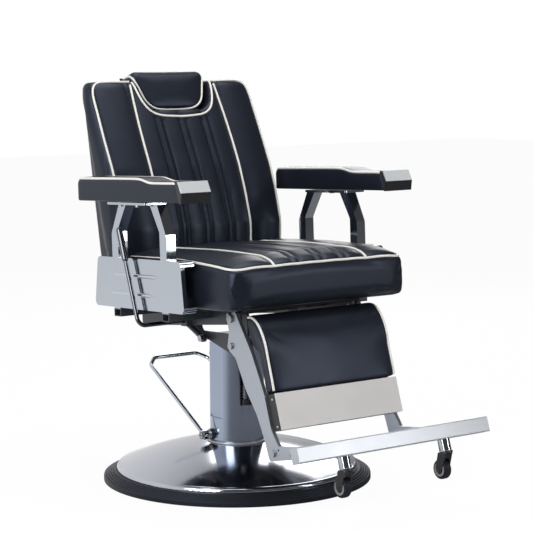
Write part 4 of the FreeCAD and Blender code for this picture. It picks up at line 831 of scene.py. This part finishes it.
@dataclass
class Upholstery:
    """All cushions, their seams measured on the photograph."""

    panel: float = 144.0
    pitch: float = 74.0
    pleat: float = 11.0
    seat_half: float = 272.0
    seat_front: float = -370.0
    seat_rear: float = 104.0
    back_half: float = 256.0

    def seat_seams(self) -> list[Seam]:
        """Seams of the seat, in the seat's frame."""
        half, front, rear, corner = self.seat_half, self.seat_front, self.seat_rear, 34.0
        loop = [(-half, rear - 10, 600), (-half, -60, 601), (-half, -154, 601), (-half, front + 95, 593),
                (-half, front + corner, 586.5), (-half + corner * 0.3, front + corner * 0.3, 585.5),
                (-half + corner, front, 585), (-half + 90, front, 585), (0, front, 585)]
        loop += [(-x, y, z) for x, y, z in reversed(loop[:-1])]
        loop += [(half - 20, rear, 596), (0, rear, 597), (-half + 20, rear, 596)]
        seams = [Seam(loop, closed=True, depth=2.0, width=6.0, smoothing=30)]
        piped = ((rear - 2, 600), (rear - 30, 612), (-60, 616), (-200, 616), (front + 70, 614),
                 (front + 40, 609), (front + 16, 600), (front, 586))
        sewn = ((rear - 10, 604), (rear - 40, 613), (-60, 617), (-200, 617), (front + 70, 615),
                (front + 40, 610), (front + 18, 602), (front + 8, 596))
        seams += [Seam(along(x, piped), depth=2.5, width=6.0) for x in (-self.panel, self.panel)]
        for middle in (-self.pitch, 0.0, self.pitch):
            for side in (-1, 1):
                line = along(middle + side * self.pleat, sewn)
                seams.append(Seam(line, SeamKind.SEWN, depth=4.0, width=3.6))
        return seams

    def back_point(self, x: float, z: float, lift: float = 0.0) -> tuple[float, float, float]:
        """A point on the backrest's face.

        Args:
            x: Across.
            z: Level in the seat's frame.
            lift: Distance in front of the face.

        Returns:
            The point.
        """
        levels = ((500, 119), (507, 118), (596, 113), (659, 112), (743, 134), (812, 157), (892, 192),
                  (1002, 241), (1044, 264), (1050, 268))
        for (low, near), (high, far) in zip(levels, levels[1:]):
            if low <= z <= high:
                return (x, near + (far - near) * (z - low) / (high - low) - lift, z)
        return (x, 264.0 - lift, z)

    def back_seams(self) -> list[Seam]:
        """Seams of the backrest, in the seat's frame."""
        half = self.back_half
        side = [(half - 2, 515), (half, 560), (half, 659), (half, 743), (half, 812), (half, 892),
                (half - 2, 960), (half - 4, 1010), (half - 14, 1032), (half - 34, 1040)]
        seams = []
        for way in (-1, 1):
            edge = [self.back_point(way * x, z, -12 - max(0, (760 - z) / 26)) for x, z in side]
            edge += [(way * 190, 269, 1043), (way * 150, 270, 1043), (way * 131, 270, 1041)]
            seams.append(Seam(edge, depth=2.0, width=6.0))
            inner = [self.back_point(way * x, z) for x, z in
                     ((self.panel - 2, 512), (self.panel - 1, 596), (self.panel - 1, 743),
                      (self.panel - 1, 892), (self.panel - 5, 980), (self.panel - 9, 1034))]
            seams.append(Seam(inner, depth=2.5, width=6.0))
            for middle in ((0.0, self.pitch) if way > 0 else (-self.pitch,)):
                for edge_side in (-1, 1):
                    x = middle + edge_side * self.pleat
                    top = 938 if abs(x) < 70 else 946
                    seams.append(Seam([self.back_point(x, z) for z in (512, 596, 659, 743, 812, 892, top)],
                                      SeamKind.SEWN, depth=4.0, width=3.6))
        recess = [(-126, 1040), (-120, 1010), (-112, 985), (-100, 966), (-78, 953), (-40, 947), (0, 946)]
        recess += [(-x, z) for x, z in reversed(recess[:-1])]
        seams.append(Seam([self.back_point(x, z, -4) for x, z in recess], depth=0.0, width=5.0))
        return seams

    def head_seams(self) -> list[Seam]:
        """Seams of the headrest pad, in its own frame."""
        outline = [(-113, 14, 112), (-114, -8, 110), (-113, -22, 104), (-111, -28, 94), (-102, -29, 70),
                   (-90, -29, 34), (-68, -27, 15), (-42, -23, 11), (0, -22, 10)]
        outline += [(-x, y, z) for x, y, z in reversed(outline[:-1])]
        return [Seam(outline, depth=1.5, width=4.5, smoothing=8)]

    def arm_seams(self, side: int) -> list[Seam]:
        """Seams of one armrest pad.

        Args:
            side: 1 for the sitter's left.

        Returns:
            The seams.
        """
        profile = ((-264, 788), (-200, 788), (-154, 788.5), (-128, 794), (-106, 798), (0, 798.5), (170, 798))
        return [Seam(along(side * x, profile), depth=1.5, width=5.0) for x in (279, 356)]

    def leg_seams(self) -> list[Seam]:
        """Seams of the leg rest's pad, in its own frame."""
        profile = ((-60, -9), (-76, -12), (-92, -26), (-104, -52), (-112, -90), (-112, -150), (-110, -203))
        return [Seam(along(x, profile), depth=1.5, width=5.0) for x in (-190, 190)]

    def leg_roll(self) -> bmesh.types.BMesh:
        """Shapes the roll above the leg rest's pad.

        Returns:
            A closed body, in the leg rest's frame, in metres.
        """
        profile = ((-112, -112), (-114, -90), (-111, -64), (-103, -38), (-91, -18), (-76, -5), (-62, -4),
                   (-55, -14), (-54, -60), (-58, -80), (-80, -112))
        body = bmesh.new()
        ends = [[body.verts.new(Vector((x, y, z)) * MM) for y, z in profile] for x in (-195, 195)]
        band(body, *ends)
        body.faces.new(ends[0][::-1])
        body.faces.new(ends[1])
        bmesh.ops.recalc_face_normals(body, faces=body.faces[:])
        return body

    def build(self) -> None:
        """Makes every cushion."""
        up, front = Vector((0, 0, 1)), Vector((0, -1, 0))
        folds = (-self.panel, -self.pitch, 0.0, self.pitch, self.panel)
        Cushion("seat_cushion", "seat", SEAT, self.seat_seams(), up, grooves=folds, smoothing=4,
                rests=lambda p: p.z < 482 and p.y > -330).build()
        Cushion("back_cushion", "back", SEAT, self.back_seams(), front, grooves=folds, shrink=0.5,
                rests=lambda p: 940 < p.z and abs(p.x) < 128 and p.y > 250).build()
        Cushion("headrest_pad", "headrest", HEAD, self.head_seams(), front, voxel=4.0, cap=3.0, shrink=-4.0,
                smoothing=1, rests=lambda p: p.y > 26).build()
        for side, node in ((-1, "armrest_pad_right"), (1, "armrest_pad_left")):
            Cushion(node, "seat", SEAT, self.arm_seams(side), up, voxel=4.0, cap=4.0, shrink=2.0,
                    rests=lambda p: p.z < 745 or p.y < -262).build()
        Cushion("leg_pad", "leg_rest", LEG, self.leg_seams(), front, voxel=4.0, cap=4.0, shrink=2.0,
                smoothing=6, rests=lambda p: p.y > -60 or p.z < -196, extra=self.leg_roll,
                fold=Fold("leg_rest_raise", Vector((0, 0, 1)), Vector((0, -85, -100)))).build()


# Metal, rubber and board

@dataclass
class Hardware:
    """Finishes of the CAD nodes that stay."""

    looks: dict[str, Finish] = field(default_factory=lambda: {
        "chrome": CHROME, "black_rubber": RUBBER, "steel": STEEL, "cast": CAST, "slate_paint": SLATE,
        "grey_paint": GREY_PAINT, "black_paint": BLACK_PAINT, "leatherette": LEATHERETTE, "board": BOARD,
        "black_plastic": PLASTIC, "silver_bar": SILVER})
    special: dict[str, Finish] = field(default_factory=lambda: {
        "base_dome": DOME_CHROME, "kickplate": KICK, "ram": COLUMN_CHROME, "pump_housing": COLUMN_CHROME,
        "recline_lever": BLACK_CHROME, "pedal_bail": CHROME, "arm_caps": CAP_CHROME_PAINTED_LIGHT})

    def dress(self) -> None:
        """Gives every node the finish of its slot."""
        slots = {part["node"]: part["material_slot"] for part in frame["record"]["subparts"]}
        for name, node in frame["nodes"].items():
            look = self.special.get(name) or self.looks[slots[name]]
            node.data.materials.clear()
            node.data.materials.append(finish(look))
        LOG.info("dressed %d nodes", len(slots))


@dataclass
class Trim:
    """Small pieces on the frame that the solids leave out."""

    ring: tuple[float, float] = (11.0, 17.5)
    hub: float = 6.5
    screw: float = 3.2
    screw_spots: tuple[tuple[float, float], ...] = ((-95, -218), (-95, -284))
    head: float = 9.0

    @staticmethod
    def turned(body: bmesh.types.BMesh, profile: list[tuple[float, float]], at: Vector, way: float,
               sides: int = 40) -> None:
        """Adds a piece turned about a line along X.

        Args:
            body: Mesh that takes the piece.
            profile: Radius and reach of each corner, in millimetres.
            at: Centre of its foot, in metres.
            way: 1 or -1, the side to which it stands.
            sides: Number of sides.
        """
        rings = [[body.verts.new(at + Vector((way * reach, radius * math.cos(a), radius * math.sin(a))) * MM)
                  for a in (2 * math.pi * k / sides for k in range(sides))] for radius, reach in profile]
        for low, high in zip(rings, rings[1:]):
            band(body, low, high)
        if profile[0] != profile[-1]:
            body.faces.new(rings[0][::-1])
            body.faces.new(rings[-1])

    @staticmethod
    def finished(name: str, body: bmesh.types.BMesh, base: Matrix, look: Finish, owner: str,
                 slot: str) -> None:
        """Puts a body into the scene on the body that carries it.

        Args:
            name: Name of the piece.
            body: Its mesh, freed here.
            base: Its frame.
            look: Its finish.
            owner: The body on which it rides.
            slot: The material slot of its finish; not used.
        """
        bmesh.ops.recalc_face_normals(body, faces=body.faces[:])
        piece = place(name, as_mesh(name, body, base), look)
        edges = piece.modifiers.new("edges", "EDGE_SPLIT")
        edges.split_angle = math.radians(35)
        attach(piece, owner)

    def wheels(self) -> None:
        """Makes the grey ring and bright hub on each side of both wheels."""
        for side in ("right", "left"):
            low, high = (Vector(corner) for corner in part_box("caster_wheel_" + side))
            middle = (low + high) / 2
            rings, hubs = bmesh.new(), bmesh.new()
            inner, outer = self.ring
            for way, x in ((-1, low.x), (1, high.x)):
                at = Vector((x, middle.y, middle.z))
                self.turned(rings, [(inner, -0.3), (inner + 0.5, 0.8), (outer - 0.5, 0.8), (outer, -0.3),
                                    (inner, -0.3)], at, way)
                self.turned(hubs, [(self.hub, -0.3), (self.hub - 0.8, 1.0), (self.hub - 3, 1.4)], at, way)
            self.finished("wheel_rings_" + side, rings, FLOOR, TYRE_RING, "wheel_" + side, "black_plastic")
            self.finished("wheel_hubs_" + side, hubs, FLOOR, STEEL, "wheel_" + side, "steel")

    def plate_screws(self) -> None:
        """Makes the screws on both sides of the kickplate's board."""
        heads = bmesh.new()
        for way in (-1, 1):
            for y, z in self.screw_spots:
                self.turned(heads, [(self.screw, -0.4), (self.screw, 0.6), (self.screw * 0.7, 1.4),
                                    (self.screw * 0.3, 1.7)], Vector((way * 190, y, z)) * MM, way, 20)
        self.finished("kickplate_screws", heads, LEG, STEEL, "leg_rest", "steel")

    def pedal_screw(self) -> None:
        """Makes the cross-slotted screw in the right end of the pedal's shaft."""
        low, high = (Vector(corner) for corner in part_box("pedal_shaft"))
        at = Vector((low.x, (low.y + high.y) / 2, (low.z + high.z) / 2))
        plate, head = bmesh.new(), bmesh.new()
        self.turned(plate, [(self.head, -0.4), (self.head, 0.7)], at, -1)
        for quarter in range(4):
            spots = [(0.9, 0.9)] + [(self.head * 0.94 * math.cos(a), self.head * 0.94 * math.sin(a))
                                    for a in (math.radians(8 + 74 * k / 8) for k in range(9))]
            turn = Matrix.Rotation(math.pi / 2 * quarter, 3, "X")
            levels = [[head.verts.new(at + turn @ Vector((-reach, y, z)) * MM) for y, z in spots]
                      for reach in (0.5, 1.9)]
            band(head, *levels)
            head.faces.new(levels[0][::-1])
            head.faces.new(levels[1])
        self.finished("pedal_screw_slot", plate, FLOOR, CAST, "pedal", "steel")
        self.finished("pedal_screw_head", head, FLOOR, STEEL, "pedal", "steel")

    @staticmethod
    def rim(grow: float, corner: float = 45.0) -> list[Vector]:
        """Outline of the headrest, open at the top, made wider all round.

        Args:
            grow: How much wider it is.
            corner: Radius of its lower corners.

        Returns:
            Points from its left top to its right top, in the headrest's frame in millimetres.
        """
        foot = Vector((-90 - grow, 0, 12 - 1.5 * grow))
        top = Vector((-118 - grow, 0, 113))
        reach = corner * 0.77
        start, stop = foot + (top - foot).normalized() * reach, foot + Vector((reach, 0, 0))
        half = [top] + [start.lerp(foot, t).lerp(foot.lerp(stop, t), t) for t in (k / 10 for k in range(11))]
        return half + [Vector((-point.x, point.y, point.z)) for point in reversed(half)]

    def recess_board(self) -> None:
        """Makes the dark board that closes the gap behind the headrest's edge."""
        body = bmesh.new()
        rows = [[body.verts.new((point + Vector((0, y, 0))) * MM) for point in self.rim(grow)]
                for grow, y in ((1.0, 9.0), (9.5, 9.0), (9.5, 12.0), (1.0, 12.0))]
        for row, after in zip(rows, rows[1:] + rows[:1]):
            band(body, row, after, closed=False)
        for k in (0, -1):
            body.faces.new([row[k] for row in rows])
        self.finished("recess_board", body, HEAD, BOARD, "back", "board")

    def build(self) -> None:
        """Makes every small piece."""
        self.wheels()
        self.plate_screws()
        self.pedal_screw()
        self.recess_board()
        LOG.info("trim ready")


# Studio and camera

@dataclass
class Studio:
    """Floor, lamps, world and camera."""

    distance: float = 4.764304
    height: float = 1.098685
    azimuth: float = -0.6283196
    pitch: float = 0.1140490
    roll: float = -0.0053484
    yaw: float = -0.0166343
    focal: float = 1845.468
    picture: int = 533
    floor_half: float = 14.0
    fill: float = 0.34
    boxes: tuple = (("left_box", (-3.4, -1.2, 1.9), (0, 0, 0.6), (2.2, 2.6), 95),
                    ("top_box", (0.2, -0.4, 3.6), (0, 0, 0.5), (3.0, 3.0), 85),
                    ("strip_box", (2.2, -3.5, 1.5), (0, 0, 0.5), (0.35, 2.2), 30),
                    ("rear_box", (2.6, 2.6, 2.2), (0, 0, 0.7), (2.0, 2.0), 40))

    @staticmethod
    def screens(nodes: Nodes, way: bpy.types.NodeSocket) -> bpy.types.NodeSocket:
        """Level of the bright screens behind the chair and at its right, by direction.

        Args:
            nodes: The nodes of the floor or the world.
            way: The direction from the chair.

        Returns:
            The level that a reflection shows.
        """
        facing = nodes.filled("ShaderNodeVectorMath", {0: way, 1: (-0.475, 0.877, -0.06)},
                              operation="DOT_PRODUCT")
        levels = {"Value": facing.outputs["Value"], "From Min": -0.02, "From Max": 0.72, "To Min": 0.07,
                  "To Max": 0.95}
        return nodes.filled("ShaderNodeMapRange", levels, interpolation_type="SMOOTHSTEP").outputs["Result"]

    def floor(self) -> None:
        """Makes the pale floor, which keeps the chair's shadow."""
        mesh = bpy.data.meshes.new("floor")
        size = self.floor_half
        mesh.from_pydata([(-size, -size, 0), (size, -size, 0), (size, size, 0), (-size, size, 0)], [],
                         [(0, 1, 2, 3)])
        floor = linked("floor", mesh)
        material = bpy.data.materials.new("studio_floor")
        material.use_nodes = True
        nodes = Nodes(material.node_tree)
        matt = material.node_tree.nodes["Principled BSDF"]
        matt.inputs["Base Color"].default_value = (0.86, 0.86, 0.865, 1)
        matt.inputs["Roughness"].default_value = 0.9
        path = nodes.node("ShaderNodeLightPath").outputs
        shiny = nodes.sum("MULTIPLY", path["Is Glossy Ray"], 0.8)
        share = nodes.sum("MULTIPLY_ADD", path["Is Camera Ray"], 0.95, shiny)
        away = nodes.filled("ShaderNodeVectorMath", {0: nodes.spot()}, operation="NORMALIZE")
        level = nodes.sum("MAXIMUM", path["Is Camera Ray"], self.screens(nodes, away.outputs["Vector"]))
        glow = nodes.filled("ShaderNodeEmission", {"Color": (1, 1, 1, 1), "Strength": level})
        both = nodes.filled("ShaderNodeMixShader", {0: share, 1: matt.outputs[0], 2: glow.outputs[0]})
        nodes.feed(material.node_tree.nodes["Material Output"].inputs["Surface"], both.outputs[0])
        mesh.materials.append(material)

    def world(self) -> None:
        """Makes the white surround: bright screens behind and on one side, a dark room in front."""
        world = bpy.data.worlds.new("studio")
        bpy.context.scene.world = world
        world.use_nodes = True
        nodes = Nodes(world.node_tree)
        back = world.node_tree.nodes["Background"]
        path = nodes.node("ShaderNodeLightPath").outputs
        seen = nodes.sum("MAXIMUM", path["Is Camera Ray"], path["Is Transmission Ray"])
        mirrored = self.screens(nodes, nodes.spot("Generated"))
        shiny = nodes.filled("ShaderNodeMix", {"Factor": path["Is Glossy Ray"], 2: self.fill, 3: mirrored})
        nodes.feed(back.inputs["Strength"], nodes.sum("MAXIMUM", seen, shiny.outputs[0]))
        back.inputs["Color"].default_value = (1, 1, 1, 1)

    @staticmethod
    def lamp(name: str, at: tuple[float, float, float], aim: tuple[float, float, float],
             size: tuple[float, float], power: float) -> None:
        """Places one soft box.

        Args:
            name: Its name.
            at: Where it stands.
            aim: Where it points.
            size: Width and height.
            power: Watts.
        """
        light = bpy.data.lights.new(name, "AREA")
        light.shape = "RECTANGLE"
        light.size, light.size_y = size
        light.energy = power
        lamp = linked(name, light)
        lamp.location = at
        lamp.rotation_euler = (Vector(aim) - Vector(at)).to_track_quat("-Z", "Y").to_euler()

    def camera(self) -> None:
        """Sets the camera at the photograph's place."""
        data = bpy.data.cameras.new("camera")
        data.sensor_width = 36.0
        data.lens = self.focal / self.picture * 36.0
        data.clip_end = 60.0
        camera = linked("camera", data)
        turn = self.azimuth + self.yaw
        ahead = Vector((-math.sin(turn) * math.cos(self.pitch), math.cos(turn) * math.cos(self.pitch),
                        -math.sin(self.pitch)))
        right = ahead.cross(Vector((0, 0, 1))).normalized()
        up = right.cross(ahead)
        right, up = (right * math.cos(self.roll) + up * math.sin(self.roll),
                     up * math.cos(self.roll) - right * math.sin(self.roll))
        spot = Vector((math.sin(self.azimuth) * self.distance, -math.cos(self.azimuth) * self.distance,
                       self.height))
        camera.matrix_world = Matrix((
            (right.x, up.x, -ahead.x, spot.x), (right.y, up.y, -ahead.y, spot.y),
            (right.z, up.z, -ahead.z, spot.z), (0, 0, 0, 1)))
        bpy.context.scene.camera = camera

    def build(self) -> None:
        """Sets up the whole studio."""
        bpy.context.scene.view_settings.view_transform = "Standard"
        self.floor()
        self.world()
        for box in self.boxes:
            self.lamp(*box)
        self.camera()
        LOG.info("studio ready")


def main() -> None:
    """Builds the chair's visual model in order."""
    logging.basicConfig(level=logging.INFO, format="%(name)s: %(message)s")
    Studio().build()
    Hardware().dress()
    Trim().build()
    Upholstery().build()


if __name__ == "__main__":
    main()
